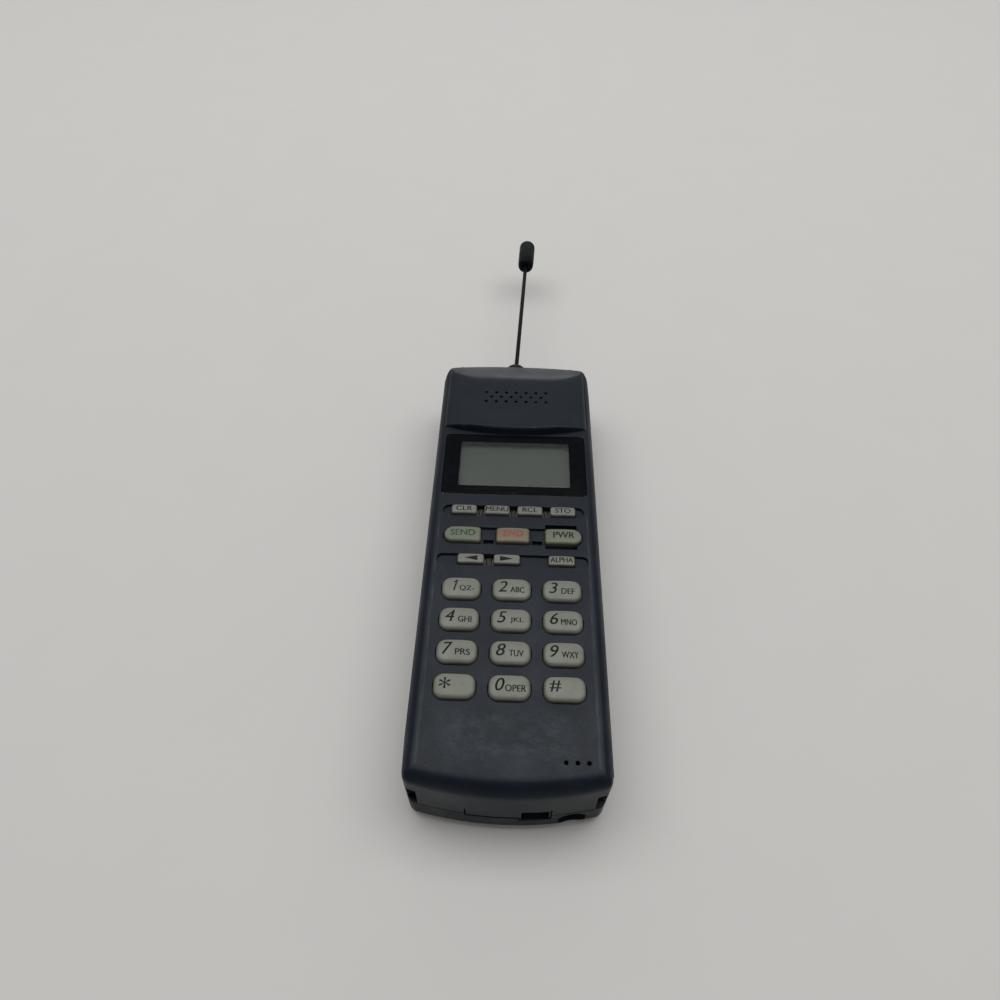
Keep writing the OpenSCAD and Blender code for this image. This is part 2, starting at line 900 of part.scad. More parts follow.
// Folded tin cans over the radio circuits
module shield_can(w, l, h) {
  difference() {
    slab(board_top, board_top + h)
      rounded(w, l, 0.6);
    slab(board_top - 1, board_top + h - 0.3)
      rounded(w - 0.6, l - 0.6, 0.4);
    for (i = [-1 : 1])
      translate([0, i * l / 4, 0])
        slab(board_top, board_top + h + 1)
          circle(1.2);
  }
}

module shield_cans() {
  color("silver") {
    translate([board_w / 2 - 11.5, y_split + 12, 0])
      shield_can(19, 34, pad_board_z - board_top - 0.4);
    translate([-board_w / 2 + 8.5, pad_y + 6, 0])
      shield_can(15, 30, pad_board_z - board_top - 0.4);
  }
}

module earpiece() {
  color("gray")
    translate([0, sound_y, 0])
      difference() {
        union() {
          slab(hood_z - 6.4, hood_z - 2.4)
            circle(13.2);
          slab(hood_z - 7.6, hood_z - 6)
            circle(6.5);
        }
        slab(hood_z - 2.9, hood_z)
          circle(12.1);
      }
}

module earpiece_gasket() {
  color("black")
    translate([0, sound_y, 0])
      slab(hood_z - 2.4, hood_z - 1.85)
        difference() {
          circle(13.2);
          circle(12.3);
        }
}

module microphone() {
  color("silver")
    translate([mic_x, mic_y, 0])
      difference() {
        slab(ceiling_z - 2.9, ceiling_z - 0.3)
          circle(3);
        slab(ceiling_z - 0.5, ceiling_z)
          circle(0.8);
      }
}

module microphone_boot() {
  color("black")
    translate([mic_x, mic_y, 0])
      difference() {
        slab(ceiling_z - 3.5, ceiling_z - 0.1)
          circle(3.5);
        slab(ceiling_z - 2.9, ceiling_z)
          circle(3.05);
      }
}

// Round sounder on the floor of the room behind the hood
module ringer() {
  color("black")
    translate([ringer_x, ringer_y, 0])
      difference() {
        slab(wall, wall + 5)
          circle(8);
        slab(wall + 4, wall + 6)
          circle(1.2);
      }
}

// Collar that guides the whip through the head wall
module antenna_bushing() {
  bore = rod_d / 2 + 0.15;
  r = collar_d / 2;
  color("black")
    on_antenna()
      rotate([-90, 0, 0])
        rotate_extrude()
          polygon([
            [bore, -4.6], [3, -4.6], [3, -0.35], [r, -0.35], [r, collar_l - 2.6],
            [r - 0.45, collar_l - 1.6], [r - 1.3, collar_l - 0.6], [r - 2.4, collar_l], [bore, collar_l]
          ]);
}

// Tube behind the boards that the whip goes down into
module antenna_tube() {
  bottom = -(rod_out + 13);
  color("tan")
    difference() {
      antenna_round(bottom, -4.7, tube_r, tube_r);
      antenna_round(bottom + 1, -4, tube_bore, tube_bore);
    }
}

// Spring finger from the main board to the bushing
module antenna_contact() {
  color("gold")
    union() {
      block(3.2, 6.4, y_head - 11.5, y_head - 7.4, board_top, board_top + 0.4);
      block(2.95, 3.35, y_head - 11.5, y_head - 3.4, board_top, antenna_z + 1);
    }
}

module antenna_rod() {
  color("black")
    antenna_round(-5.5, collar_l + rod_out + 2, rod_d / 2, rod_d / 2);
}

// Crimped stop that keeps the whip from leaving the bushing
module antenna_stop() {
  color("gold")
    difference() {
      antenna_round(-9.5, -5, tube_bore - 0.15, tube_bore - 0.15);
      antenna_round(-5.5, -4, rod_d / 2 + 0.02, rod_d / 2 + 0.02);
    }
}

// Moulded tip with a short taper at the rod and a rounded end
module antenna_tip() {
  start = collar_l + rod_out;
  round_r = 2.4;
  color("black")
    on_antenna()
      translate([0, start, 0])
        rotate([-90, 0, 0])
          difference() {
            rotate_extrude()
              union() {
                polygon([
                  [0, 0], [tip_d / 2 - 1, 0], [tip_d / 2 - 0.3, 1.4],
                  [tip_d / 2, tip_l - round_r], [0, tip_l - round_r]
                ]);
                intersection() {
                  translate([tip_d / 2 - round_r, tip_l - round_r])
                    circle(round_r);
                  translate([0, tip_l - round_r - eps])
                    square(tip_d);
                }
                translate([0, tip_l - round_r - eps])
                  square([tip_d / 2 - round_r, round_r + eps]);
              }
            translate([0, 0, -1])
              cylinder(h = 3, r = rod_d / 2 + 0.02);
          }
}

// Edge connector at the foot: a plain strip, flush with the foot, beside an open socket
module system_connector() {
  color("black")
    difference() {
      union() {
        intersection() {
          union() {
            block(link_left, link_open_left, y_foot - 1, board_foot_y - 0.3, link_strip_z, link_top_z);
            block(link_open_left - eps, link_right, y_foot - 1, board_foot_y - 0.3, link_low_z, link_top_z);
          }
          foot_cone(0.2);
        }
        block(link_left, link_right, board_foot_y - 3, board_foot_y + 4, link_strip_z, board_z);
      }
      block(
        link_open_left + link_wall, link_right - link_wall, y_foot - 2, link_face_y + 5.2,
        link_low_z - 1, link_top_z - 0.6
      );
    }
}

// Two contact strips under the roof of the open socket
module connector_contacts() {
  color("gold")
    for (x = [6.4, 10.4])
      translate([x, 0, 0])
        block(-1.1, 1.1, link_face_y + 0.2, link_face_y + 5.2, link_top_z - 1.2, link_top_z - 0.6);
}

module terminal_block() {
  color("black")
    difference() {
      block(-7.6, 7.6, terminal_y - 3, terminal_y + 3, deck_z + 0.3, board_z);
      for (i = [-1.5 : 1 : 1.5])
        translate([i * terminal_pitch, 0, 0])
          block(-0.8, 0.8, terminal_y - 2.2, terminal_y + 2.2, deck_z, deck_z + 1.3);
    }
}

// Bowed spring strips that press on the battery's pads
module terminal_springs() {
  bow_r = 6;
  color("gold")
    for (i = [-1.5 : 1 : 1.5])
      translate([i * terminal_pitch, terminal_y, deck_z + 1.3])
        intersection() {
          translate([0, 0, bow_r - 1.4])
            rotate([0, 90, 0])
              difference() {
                cylinder(h = 1.2, r = bow_r, center = true);
                cylinder(h = 2, r = bow_r - 0.4, center = true);
              }
          block(-2, 2, -2.1, 2.1, -3, 0);
        }
}

module housing_screws() {
  color("silver")
    at_screws() {
      difference() {
        slab(deck_z, deck_z + screw_head_h)
          circle(screw_head_r);
        for (turn = [0, 90])
          rotate(turn)
            block(-1.2, 1.2, -0.25, 0.25, deck_z - 1, deck_z + 0.8);
      }
      slab(deck_z + screw_head_h - eps, screw_tip_z)
        circle(screw_r);
    }
}

module battery_form(top, y_end) {
  intersection() {
    plan_prism(0, -1, top);
    foot_round();
    along_y()
      back_section();
    block(-body_w, body_w, y_foot - 5, y_end, -1, top);
  }
}

module battery_case() {
  inner = hw - case_wall;
  color("dimgray")
    difference() {
      union() {
        battery_form(battery_top, battery_head_y);
        battery_form(foot_seam_z - run_gap, end_wall_y);
      }
      // Cell room with a ledge for the cover
      block(
        -inner + ledge_w, inner - ledge_w, end_wall_y + 1, battery_head_y - case_head_wall,
        case_floor, battery_top + eps
      );
      block(-inner, inner, end_wall_y, battery_head_y - case_wall, lid_z, seam_z + 1);
      // Charging socket and its insert
      translate([jack_x, jack_floor_y, jack_z])
        rotate([90, 0, 0])
          cylinder(r = jack_r, h = 20);
      translate([jack_x, end_wall_y + 3, jack_z])
        rotate([90, 0, 0])
          cylinder(r = jack_insert_r + 0.05, h = 20);
      // Notch round the connector and the pocket of the latch
      block(
        link_left - run_gap, link_right + run_gap,
        y_foot - 5, end_wall_y + 1, link_strip_z - run_gap, seam_z + 1
      );
      block(
        link_open_left - run_gap, link_right + run_gap,
        y_foot - 5, end_wall_y + 1, link_notch_z, seam_z + 1
      );
      block(
        -nose_w / 2 - 0.6, nose_w / 2 + 0.6, battery_head_y - pocket_depth, battery_head_y + 1,
        2.4, 6.2
      );
    }
}

module battery_cover() {
  inner = hw - case_wall - fit_gap;
  color("darkslategray")
    difference() {
      union() {
        block(-inner, inner, end_wall_y + fit_gap, battery_head_y - case_wall - fit_gap, lid_z, battery_top);
        battery_rails(0, rail_foot_y, rail_head_y);
      }
      for (i = [-1.5 : 1 : 1.5])
        translate([i * terminal_pitch, 0, 0])
          block(-1.2, 1.2, terminal_y - 3, terminal_y + 3, battery_top - 0.4, battery_top + 1);
    }
}

module battery_cells() {
  color("steelblue")
    for (i = [0 : cell_count - 1])
      translate([0, cell_head_y - cell_w / 2 - i * cell_pitch, case_floor + cell_h / 2])
        rotate([90, 0, 90])
          linear_extrude(cell_l, center = true)
            rounded(cell_w, cell_h, 2);
}

module battery_pads() {
  color("gold")
    for (i = [-1.5 : 1 : 1.5])
      translate([i * terminal_pitch, 0, 0])
        block(-1.1, 1.1, terminal_y - 2.9, terminal_y + 2.9, battery_top - 0.4, battery_top - 0.05);
}

// Insulating sleeve at the bottom of the charging socket
module charging_jack() {
  color("black")
    translate([jack_x, jack_floor_y, jack_z])
      rotate([-90, 0, 0])
        difference() {
          cylinder(r = jack_insert_r, h = 6);
          translate([0, 0, -1])
            cylinder(r = jack_insert_r - 0.5, h = 5.5);
          cylinder(r = jack_pin_r + 0.02, h = 10);
        }
}

module jack_pin() {
  color("silver")
    translate([jack_x, jack_floor_y + 0.6, jack_z])
      rotate([-90, 0, 0])
        cylinder(r = jack_pin_r, h = 6);
}

// Button in the back that frees the battery, with a nose over its pocket
module battery_latch() {
  color("black")
    difference() {
      union() {
        translate([0, latch_y, 0])
          slab(0.4, wall + eps + 0.2)
            rounded(latch_w, latch_l, 1);
        translate([0, latch_y, 0])
          slab(wall + fit_gap, wall + 1.2)
            rounded(latch_w + 3, latch_l + 2.6, 1);
        block(-nose_w / 2, nose_w / 2, y_split - 1.6, latch_y, wall + 1.1, wall + 2.4);
      }
      for (i = [-2 : 2])
        translate([0, latch_y + i * 1.2, 0])
          block(-latch_w / 2 + 1.4, latch_w / 2 - 1.4, -0.25, 0.25, 0, 0.8);
    }
}

// A key: pillow cap, flange under the housing and a stem towards the board
module key_body(w, h, left_r, right_r, rise, edge) {
  top = face_z + rise;
  union() {
    intersection() {
      slab(flange_z + eps, top + 1)
        key_plan(w, h, left_r, right_r);
      rotate([90, 0, 0])
        linear_extrude(h + 2, center = true)
          key_crown(w, top, edge);
      rotate([90, 0, 90])
        linear_extrude(w + 2, center = true)
          key_crown(h, top, edge);
    }
    slab(flange_z, flange_z + key_flange_t)
      key_plan(w + 2 * key_flange, h + 2 * key_flange, left_r + key_flange, right_r + key_flange);
    slab(stem_z, flange_z + eps)
      rounded(w * 0.55, h * 0.5, 0.6);
  }
}

// Rounded top of a key, drawn against its height
module key_crown(w, top, edge) {
  half = w / 2 + 0.05;
  intersection() {
    union() {
      translate([-half, flange_z])
        square([2 * half, top - edge - flange_z]);
      translate([-half + edge, flange_z])
        square([2 * (half - edge), top - flange_z]);
      for (side = [-1, 1])
        translate([side * (half - edge), top - edge])
          circle(edge);
    }
    translate([0, top - crown_r])
      circle(crown_r, $fn = 180);
  }
}

module pad_key(column, row) {
  color("lightgray")
    at_pad(column, row)
      key_body(pad_key_w, pad_key_h, pad_key_r, pad_key_r, pad_rise, 1.1);
}

module small_key(x, y) {
  color("lightgray")
    translate([x, y, 0])
      key_body(small_key_w, small_key_h, 0.8, 0.8, small_rise, 0.6);
}

module call_key(side) {
  color("lightgray")
    translate([side * call_x, call_y, 0])
      if (side == 0)
        key_body(end_key_w, call_key_h, 1, 1, call_rise, 0.8);
      else
        mirror([side > 0 ? 1 : 0, 0, 0])
          key_body(call_key_w, call_key_h, call_key_h / 2, 1, call_rise, 0.8);
}

front_housing();
rear_housing();
display_window();
lcd_glass();
lcd_frame();
keypad_mat();
keypad_board();
main_board();
board_link();
shield_cans();
earpiece();
earpiece_gasket();
microphone();
microphone_boot();
ringer();
antenna_bushing();
antenna_tube();
antenna_contact();
antenna_rod();
antenna_stop();
antenna_tip();
system_connector();
connector_contacts();
terminal_block();
terminal_springs();
housing_screws();
battery_case();
battery_cover();
battery_cells();
battery_pads();
charging_jack();
jack_pin();
battery_latch();
pad_key(0, 0);  // key_1
pad_key(1, 0);  // key_2
pad_key(2, 0);  // key_3
pad_key(0, 1);  // key_4
pad_key(1, 1);  // key_5
pad_key(2, 1);  // key_6
pad_key(0, 2);  // key_7
pad_key(1, 2);  // key_8
pad_key(2, 2);  // key_9
pad_key(0, 3);  // key_star
pad_key(1, 3);  // key_0
pad_key(2, 3);  // key_hash
small_key(-1.5 * memory_pitch, memory_y);  // key_clear
small_key(-0.5 * memory_pitch, memory_y);  // key_menu
small_key(0.5 * memory_pitch, memory_y);  // key_recall
small_key(1.5 * memory_pitch, memory_y);  // key_store
call_key(-1);  // key_send
call_key(0);  // key_end
call_key(1);  // key_power
small_key(left_x, arrow_y);  // key_left
small_key(right_x, arrow_y);  // key_right
small_key(alpha_x, arrow_y);  // key_alpha
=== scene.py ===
"""Brick cell phone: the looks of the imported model.

Softened mouldings, pillow keys with lettering, a bordered display and worn plastics, on a paper floor
under soft light. Lengths are in millimetres unless a line says metres.
"""

import bmesh
import bpy
import numpy as np
from mathutils import Matrix


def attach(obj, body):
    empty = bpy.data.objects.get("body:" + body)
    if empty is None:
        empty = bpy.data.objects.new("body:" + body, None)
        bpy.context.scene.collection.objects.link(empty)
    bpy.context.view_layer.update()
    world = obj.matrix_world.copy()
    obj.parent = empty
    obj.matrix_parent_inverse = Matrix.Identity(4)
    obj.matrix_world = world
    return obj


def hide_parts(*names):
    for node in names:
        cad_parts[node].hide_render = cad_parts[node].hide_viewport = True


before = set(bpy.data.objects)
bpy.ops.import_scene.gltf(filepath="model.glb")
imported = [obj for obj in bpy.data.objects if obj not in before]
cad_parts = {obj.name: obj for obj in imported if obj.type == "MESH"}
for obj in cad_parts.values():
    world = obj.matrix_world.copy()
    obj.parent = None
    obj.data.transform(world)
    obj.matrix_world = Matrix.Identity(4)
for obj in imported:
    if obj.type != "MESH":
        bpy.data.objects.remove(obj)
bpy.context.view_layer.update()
MM = 0.001

# Sizes of the solids that the scene's shapes follow. Outline: half width; foot's arc, its middle and
# how far it rises for 1 inwards; head's arc and middle; corner arcs
HALF_WIDTH = 28.7
FOOT_R, FOOT_Y, FOOT_RISE = 112.0, 27.0, 15.0
HEAD_R, HEAD_Y = 105.0, -19.4
CORNER_R, CORNER_X, LOW_CORNER_Y, HIGH_CORNER_Y = 7.0, 21.7, -76.03, 76.17
# Face, long edges, and the foot's bevel turned about BEVEL_Y
FACE_Z = 27.0
EDGE_R, EDGE_X, EDGE_Z = 5.0, 23.85, 22.28
BEVEL_R, BEVEL_Y, BEVEL_REACH, BEVEL_Z = 9.0, 45.0, 120.2307, 19.3676
# Hood: height, wide arc of the crown, small arc beyond CROWN_END, and the lip with its rise for 1 forwards
HOOD_Z, CROWN_R, CROWN_X, CROWN_Z, CROWN_END = 30.0, 43.714, 11.9507, -13.6075, 24.0
FLANK_R, FLANK_X, FLANK_Z = 4.2, 22.8423, 24.3758
LIP_R, LIP_Y, LIP_RISE = 105.4, 144.8, 5.0
# Slope of the head, an arc that turns by SLOPE_TURN, and the nose it ends in
SLOPE_R, SLOPE_Y, SLOPE_Z, SLOPE_TURN = 52.243, 58.4785, -20.4629, np.pi / 6
NOSE_R, NOSE_Y, NOSE_Z = 2.6, 83.3, 22.529

# Range that most of a noise lies in, and refractive indices
MIDDLE = (0.3, 0.7)
PLASTIC_IOR, ACRYLIC_IOR = 1.5, 1.49


def linear(code):
    """Linear colour of an sRGB hex code."""
    part = np.array([int(code[i:i + 2], 16) for i in (1, 3, 5)]) / 255
    flat = np.where(part <= 0.04045, part / 12.92, ((part + 0.055) / 1.055) ** 2.4)
    return (*flat.tolist(), 1.0)


def fill(tree, node, inputs):
    """Fills a node's inputs: a socket is linked, anything else is set as the value."""
    for name, value in inputs.items():
        if isinstance(value, bpy.types.NodeSocket):
            tree.links.new(value, node.inputs[name])
        else:
            node.inputs[name].default_value = value


def add(tree, kind, inputs=None, **settings):
    """Adds a node with its settings, and fills its inputs."""
    node = tree.nodes.new("ShaderNode" + kind)
    for name, value in settings.items():
        setattr(node, name, value)
    fill(tree, node, inputs or {})
    return node


def begin(name):
    """A new material with a Principled shader, and the place on the piece in metres."""
    material = bpy.data.materials.new(name)
    material.use_nodes = True
    tree = material.node_tree
    tree.nodes.clear()
    shader = add(tree, "BsdfPrincipled")
    add(tree, "OutputMaterial", {"Surface": shader.outputs["BSDF"]})
    return material, tree, shader, add(tree, "TexCoord").outputs["Object"]


def maths(tree, operation, *terms, clamp=False):
    """One operation on the terms, clamped to 0 and 1 if asked."""
    return add(tree, "Math", dict(enumerate(terms)), operation=operation, use_clamp=clamp).outputs[0]


def remap(tree, value, low, high, start=0.0, end=1.0, smooth=False):
    """Takes value from the range low to high onto start to end, and holds it at the ends."""
    return add(tree, "MapRange", {
        "Value": value, "From Min": low, "From Max": high, "To Min": start, "To Max": end},
        interpolation_type="SMOOTHSTEP" if smooth else "LINEAR").outputs["Result"]


def noise(tree, place, size_mm, detail, **more):
    """Cloudy noise from 0 to 1 with features of about size_mm."""
    return add(tree, "TexNoise", {
        "Vector": place, "Scale": 1 / MM / size_mm, "Detail": detail, **more}).outputs["Fac"]


def streaks(tree, place, across_mm, along_mm, detail, turn=(0, 0, 0), **more):
    """Stretched noise: features are across_mm in X and Z and along_mm in Y, turned by the angles of turn."""
    across, along = 1 / MM / across_mm, 1 / MM / along_mm
    drawn = add(tree, "Mapping", {"Vector": place, "Rotation": turn, "Scale": (across, along, across)})
    return noise(tree, drawn.outputs["Vector"], 1 / MM, detail, **more)


def blend(tree, share, first, second):
    """Colour that goes from first to second as share goes from 0 to 1; each is a hex code or a socket."""
    first, second = (linear(c) if isinstance(c, str) else c for c in (first, second))
    return add(tree, "Mix", {0: share, 6: first, 7: second}, data_type="RGBA").outputs[2]


def relief(tree, height, strength, high_um):
    """Normal of a surface whose grain stands high_um micrometres high."""
    return add(tree, "Bump", {
        "Strength": strength, "Distance": high_um * 1e-6, "Height": height}).outputs["Normal"]


def window(tree, value, low, high, soft):
    """1 between low and high and 0 outside, with edges that fade over soft to either side."""
    rise = remap(tree, value, (low - soft) * MM, (low + soft) * MM, smooth=True)
    fall = remap(tree, value, (high - soft) * MM, (high + soft) * MM, 1.0, 0.0, smooth=True)
    return maths(tree, "MULTIPLY", rise, fall)


def moulded(name, base, pale, rough, spread=0.1, patch_mm=16, grain_mm=0.4, grain_um=14, scuff=0.3, marks=0.5,
            zones=(), gloss=0.2, painted_shade=None):
    """Injection-moulded plastic from a spark-eroded tool: fine grain, cloudy rubbing and hairline scratches.

    base and pale are mixed by clouds of patch_mm and by thin scratches, scuff and marks say how much;
    roughness wanders by spread, and a grain of grain_mm stands grain_um micrometres high. Each zone has
    paler streaks, from hard use and in some zones a painted highlight: its limits across (both sides alike),
    along and in height, the fade of its edge, the size of its streaks across and along, its share of pale
    and how much it is polished. The last argument gives the limits along that are painted black as shade.
    """
    material, tree, shader, place = begin(name)
    cloud = noise(tree, place, patch_mm, 4, Roughness=0.6)
    rubbed = remap(tree, cloud, 0.45, 0.75, 0, scuff)
    # Scratches run where stretched noise crosses its middle value
    lines = streaks(tree, place, 1.6, 14, 1, turn=(0.2, 0.1, 0.5))
    away = maths(tree, "ABSOLUTE", maths(tree, "SUBTRACT", lines, 0.5))
    hair = maths(tree, "MULTIPLY", remap(tree, away, 0.002, 0.007, marks, 0), rubbed)
    wear_and_highlight = maths(tree, "ADD", hair, rubbed, clamp=True)
    sheen = remap(tree, cloud, *MIDDLE, rough + spread, rough - spread)
    axes = add(tree, "SeparateXYZ", {0: place}).outputs
    across = maths(tree, "ABSOLUTE", axes["X"])
    for wide, along, high, soft, streak, share, polish in zones:
        inside = window(tree, across, *wide, soft)
        for axis, limits, fade in (("Y", along, soft), ("Z", high, 0.4)):
            inside = maths(tree, "MULTIPLY", inside, window(tree, axes[axis], *limits, fade))
        # Paler streaks in each zone: wear, and on the shoulders and the head's slope also a painted highlight
        smear_and_highlight = remap(tree, streaks(tree, place, *streak, 4, Roughness=0.65), 0.42, 0.7, 0, share)
        wear_and_highlight = maths(tree, "ADD", wear_and_highlight, maths(tree, "MULTIPLY", inside, smear_and_highlight), clamp=True)
        sheen = maths(tree, "MULTIPLY_ADD", inside, -polish, sheen)
    grain = noise(tree, place, grain_mm, 2)
    wear_and_highlight = maths(tree, "ADD", wear_and_highlight, remap(tree, grain, *MIDDLE, -0.1, 0.1), clamp=True)
    colour = blend(tree, wear_and_highlight, base, pale)
    # Painted shade: between the given limits along, the colour is painted black
    if painted_shade:
        colour = blend(tree, window(tree, axes["Y"], *painted_shade, 0.2), colour, "#08090a")
    fill(tree, shader, {
        "Base Color": colour, "Roughness": sheen, "Normal": relief(tree, grain, 0.6, grain_um),
        "Specular IOR Level": gloss, "IOR": PLASTIC_IOR})
    return material


def metal(name, base, dull, rough, brush_mm=0.3):
    """Sheet or turned metal: fine drawn lines, with a tarnish that comes and goes over a few millimetres."""
    material, tree, shader, place = begin(name)
    lines = streaks(tree, place, brush_mm, 6, 3)
    fill(tree, shader, {
        "Base Color": blend(tree, noise(tree, place, 3, 4), base, dull), "Metallic": 1.0,
        "Roughness": remap(tree, lines, *MIDDLE, rough - 0.08, rough + 0.1),
        "Normal": relief(tree, lines, 0.3, 6)})
    return material


def key_plastic(name, top, skirt, low, high):
    """Pale translucent key moulding: satin crown, yellowed skirt, and grime with painted shade where it goes
    into the housing.

    The skirt's colour turns into the top's between the heights low and high, with a mottle of 5 mm and
    0.45 mm.
    """
    material, tree, shader, place = begin(name)
    height = add(tree, "SeparateXYZ", {0: place}).outputs["Z"]
    rise = remap(tree, height, low * MM, high * MM, smooth=True)
    # Grime with painted shade: the key turns dark below the face, where it sinks into its opening
    above_grime_and_shade = remap(tree, height, (FACE_Z - 1.8) * MM, (FACE_Z - 0.2) * MM, smooth=True)
    cloud, grain = noise(tree, place, 5, 3), noise(tree, place, 0.45, 2)
    drift = remap(tree, cloud, *MIDDLE, -0.2, 0.2)
    mottle = maths(tree, "ADD", drift, remap(tree, grain, 0.35, 0.7, -0.2, 0.2))
    share = maths(tree, "ADD", rise, mottle, clamp=True)
    fill(tree, shader, {
        "Base Color": blend(tree, above_grime_and_shade, "#3a3a31", blend(tree, share, skirt, top)),
        "Roughness": remap(tree, cloud, *MIDDLE, 0.5, 0.36), "Normal": relief(tree, grain, 0.4, 9),
        "IOR": PLASTIC_IOR, "Subsurface Weight": 0.12, "Subsurface Radius": (0.0012, 0.0011, 0.0009),
        "Subsurface Scale": 1.0})
    return material


def ink(name, dark, faded):
    """Matt pad-printed ink: paler in spots about a millimetre wide where thumbs have rubbed it."""
    material, tree, shader, place = begin(name)
    wear = remap(tree, noise(tree, place, 1.1, 3), 0.4, 0.75)
    fill(tree, shader, {
        "Base Color": blend(tree, wear, dark, faded), "Roughness": 0.55, "Specular IOR Level": 0.12})
    return material


def wiped(tree, place, low, high):
    """Roughness of a polished pane: thin wiping marks 6 mm long that take it from low to high."""
    return remap(tree, streaks(tree, place, 6, 0.5, 3, turn=(0, 0, 0.3)), 0.45, 0.7, low, high)


def clear_acrylic():
    """Cast acrylic pane: clear, with faint wiping marks in its polish; lamps pass it to what lies behind."""
    material, tree, shader, place = begin("clear_acrylic_pane")
    fill(tree, shader, {
        "Base Color": linear("#f2f6f4"), "Roughness": wiped(tree, place, 0.02, 0.05),
        "Transmission Weight": 1.0, "IOR": ACRYLIC_IOR})
    lamp_ray = add(tree, "LightPath").outputs["Is Shadow Ray"]
    through = add(tree, "BsdfTransparent", {"Color": linear("#e8eeea")})
    mix = add(tree, "MixShader", {0: lamp_ray, 1: shader.outputs["BSDF"], 2: through.outputs["BSDF"]})
    out = next(n for n in tree.nodes if n.type == "OUTPUT_MATERIAL")
    fill(tree, out, {"Surface": mix.outputs["Shader"]})
    return material


def printed_acrylic():
    """Border of the pane: acrylic over black print, a deep black with specks of dust under a wiped gloss."""
    material, tree, shader, place = begin("black_backed_acrylic")
    dust = remap(tree, noise(tree, place, 0.7, 4), 0.55, 0.8, 0, 0.5)
    fill(tree, shader, {
        "Base Color": blend(tree, dust, "#05070b", "#1b2027"), "Roughness": wiped(tree, place, 0.1, 0.18),
        "IOR": ACRYLIC_IOR})
    return material


def display_film():
    """Polariser film on the liquid crystal: grey-green haze, with a fine dot lattice of 0.6 mm."""
    material, tree, shader, place = begin("liquid_crystal_film")
    dots = add(tree, "TexVoronoi", {
        "Vector": place, "Scale": 1 / MM / 0.6, "Randomness": 0.0}, distance="CHEBYCHEV").outputs["Distance"]
    lattice = remap(tree, dots, 0.38, 0.48, 0, 0.03)
    haze = remap(tree, noise(tree, place, 18, 2), *MIDDLE, 0, 0.35)
    share = maths(tree, "ADD", lattice, haze, clamp=True)
    fill(tree, shader, {"Base Color": blend(tree, share, "#262b29", "#222624"), "Roughness": 0.35})
    return material


def solder_mask():
    """Circuit board: green mask over copper tracks about 0.4 mm wide that show as paler lines."""
    material, tree, shader, place = begin("solder_mask_board")
    cells = add(tree, "TexVoronoi", {
        "Vector": place, "Scale": 1 / MM / 3.2}, distance="MANHATTAN").outputs["Distance"]
    tracks = remap(tree, maths(tree, "PINGPONG", cells, 0.12), 0.05, 0.07)
    fill(tree, shader, {
        "Base Color": blend(tree, tracks, "#1c5a38", "#2a7a4c"), "Roughness": 0.3,
        "Normal": relief(tree, tracks, 0.4, 30)})
    return material


def paper():
    """Matt pale paper with a faint fibre mottle of 30 mm."""
    material, tree, shader, place = begin("pale_paper_floor")
    fill(tree, shader, {
        "Base Color": blend(tree, noise(tree, place, 30, 3), "#c4c3c1", "#c7c6c4"), "Roughness": 0.85})
    return material


# Places of paler streaks on the front: the chin under the keypad, worn by hard use; the shoulders that palms
# rub, worn and also painted with the crease's highlight; and the slope of the head, polished, its paler
# streaks a painted reflection
WEAR_AND_PAINTED_HIGHLIGHT = (
    ((-1, 17), (-75, -61), (26, 28), 4.0, (3.2, 1.8), 0.42, 0.03),
    ((24.3, 25.0), (-76, 8), (25, 28), 0.3, (0.5, 7), 0.9, 0.05),
    ((-1, 22), (72, 85), (22, 31), 1.5, (5, 2), 0.2, 0.08),
)
# ABS housing, dark charcoal with a blue cast, polished by hands along its edges; a painted highlight on its
# shoulders and a painted reflection on the head's slope
HOUSING = moulded("charcoal_abs_housing", "#121922", "#3a414a", 0.42, spread=0.06, scuff=0.2, zones=WEAR_AND_PAINTED_HIGHLIGHT)
HOUSING_EDGE = moulded("charcoal_abs_rubbed_edge", "#141b24", "#464d56", 0.42, patch_mm=3, scuff=0.4,
                       marks=0.8)
# ABS of the battery pack, the same resin with a flatter grain
PACK = moulded("charcoal_abs_battery", "#151b22", "#3d4249", 0.5, grain_mm=0.55, grain_um=18, scuff=0.3)
PACK_EDGE = moulded("charcoal_abs_battery_edge", "#171d25", "#484e56", 0.42, patch_mm=3, scuff=0.5, marks=0.8)
# Glass-filled nylon of the terminals and bushing: dull black with pale fibres at the skin
NYLON = moulded("black_nylon", "#101113", "#2a2c2e", 0.55, grain_mm=0.3, scuff=0.4)
# Latch button, black with a rubbed crown
LATCH = moulded("black_abs_latch", "#121316", "#3a3c40", 0.45, patch_mm=4, scuff=0.5)
# Vinyl-dipped antenna tip, soft black with a slight sheen
TIP = moulded("black_vinyl_tip", "#06080c", "#14181f", 0.5, patch_mm=5, grain_mm=0.5, scuff=0.4, gloss=0.08)
# Enamelled whip: black, chipped to grey in small spots
WHIP = moulded("black_enamel_whip", "#08090d", "#2a2d31", 0.45, patch_mm=2, grain_mm=0.3, grain_um=6,
               scuff=0.2, gloss=0.1)
# Silicone keypad mat, olive grey and dusty, painted black along the call keys as the shade in the deep wells
# there
MAT = moulded("olive_silicone_mat", "#45463a", "#626254", 0.7, patch_mm=4, grain_mm=0.5, scuff=0.6, marks=0.0,
              painted_shade=(-6.5, 3.5))
# Rubber of the gasket and the microphone boot
RUBBER = moulded("black_rubber", "#161616", "#2b2b2a", 0.75, patch_mm=5, scuff=0.5, marks=0.0)
# Felt disc over the microphone capsule
FELT = moulded("black_felt", "#0c0c0d", "#1b1b1c", 0.9, patch_mm=1, grain_mm=0.2, grain_um=40, scuff=0.4,
               marks=0.0)
# Ivory polystyrene of the display tray and the antenna's guide tube
IVORY = moulded("ivory_polystyrene", "#cfc9b4", "#e2dccb", 0.5, patch_mm=6, scuff=0.5)
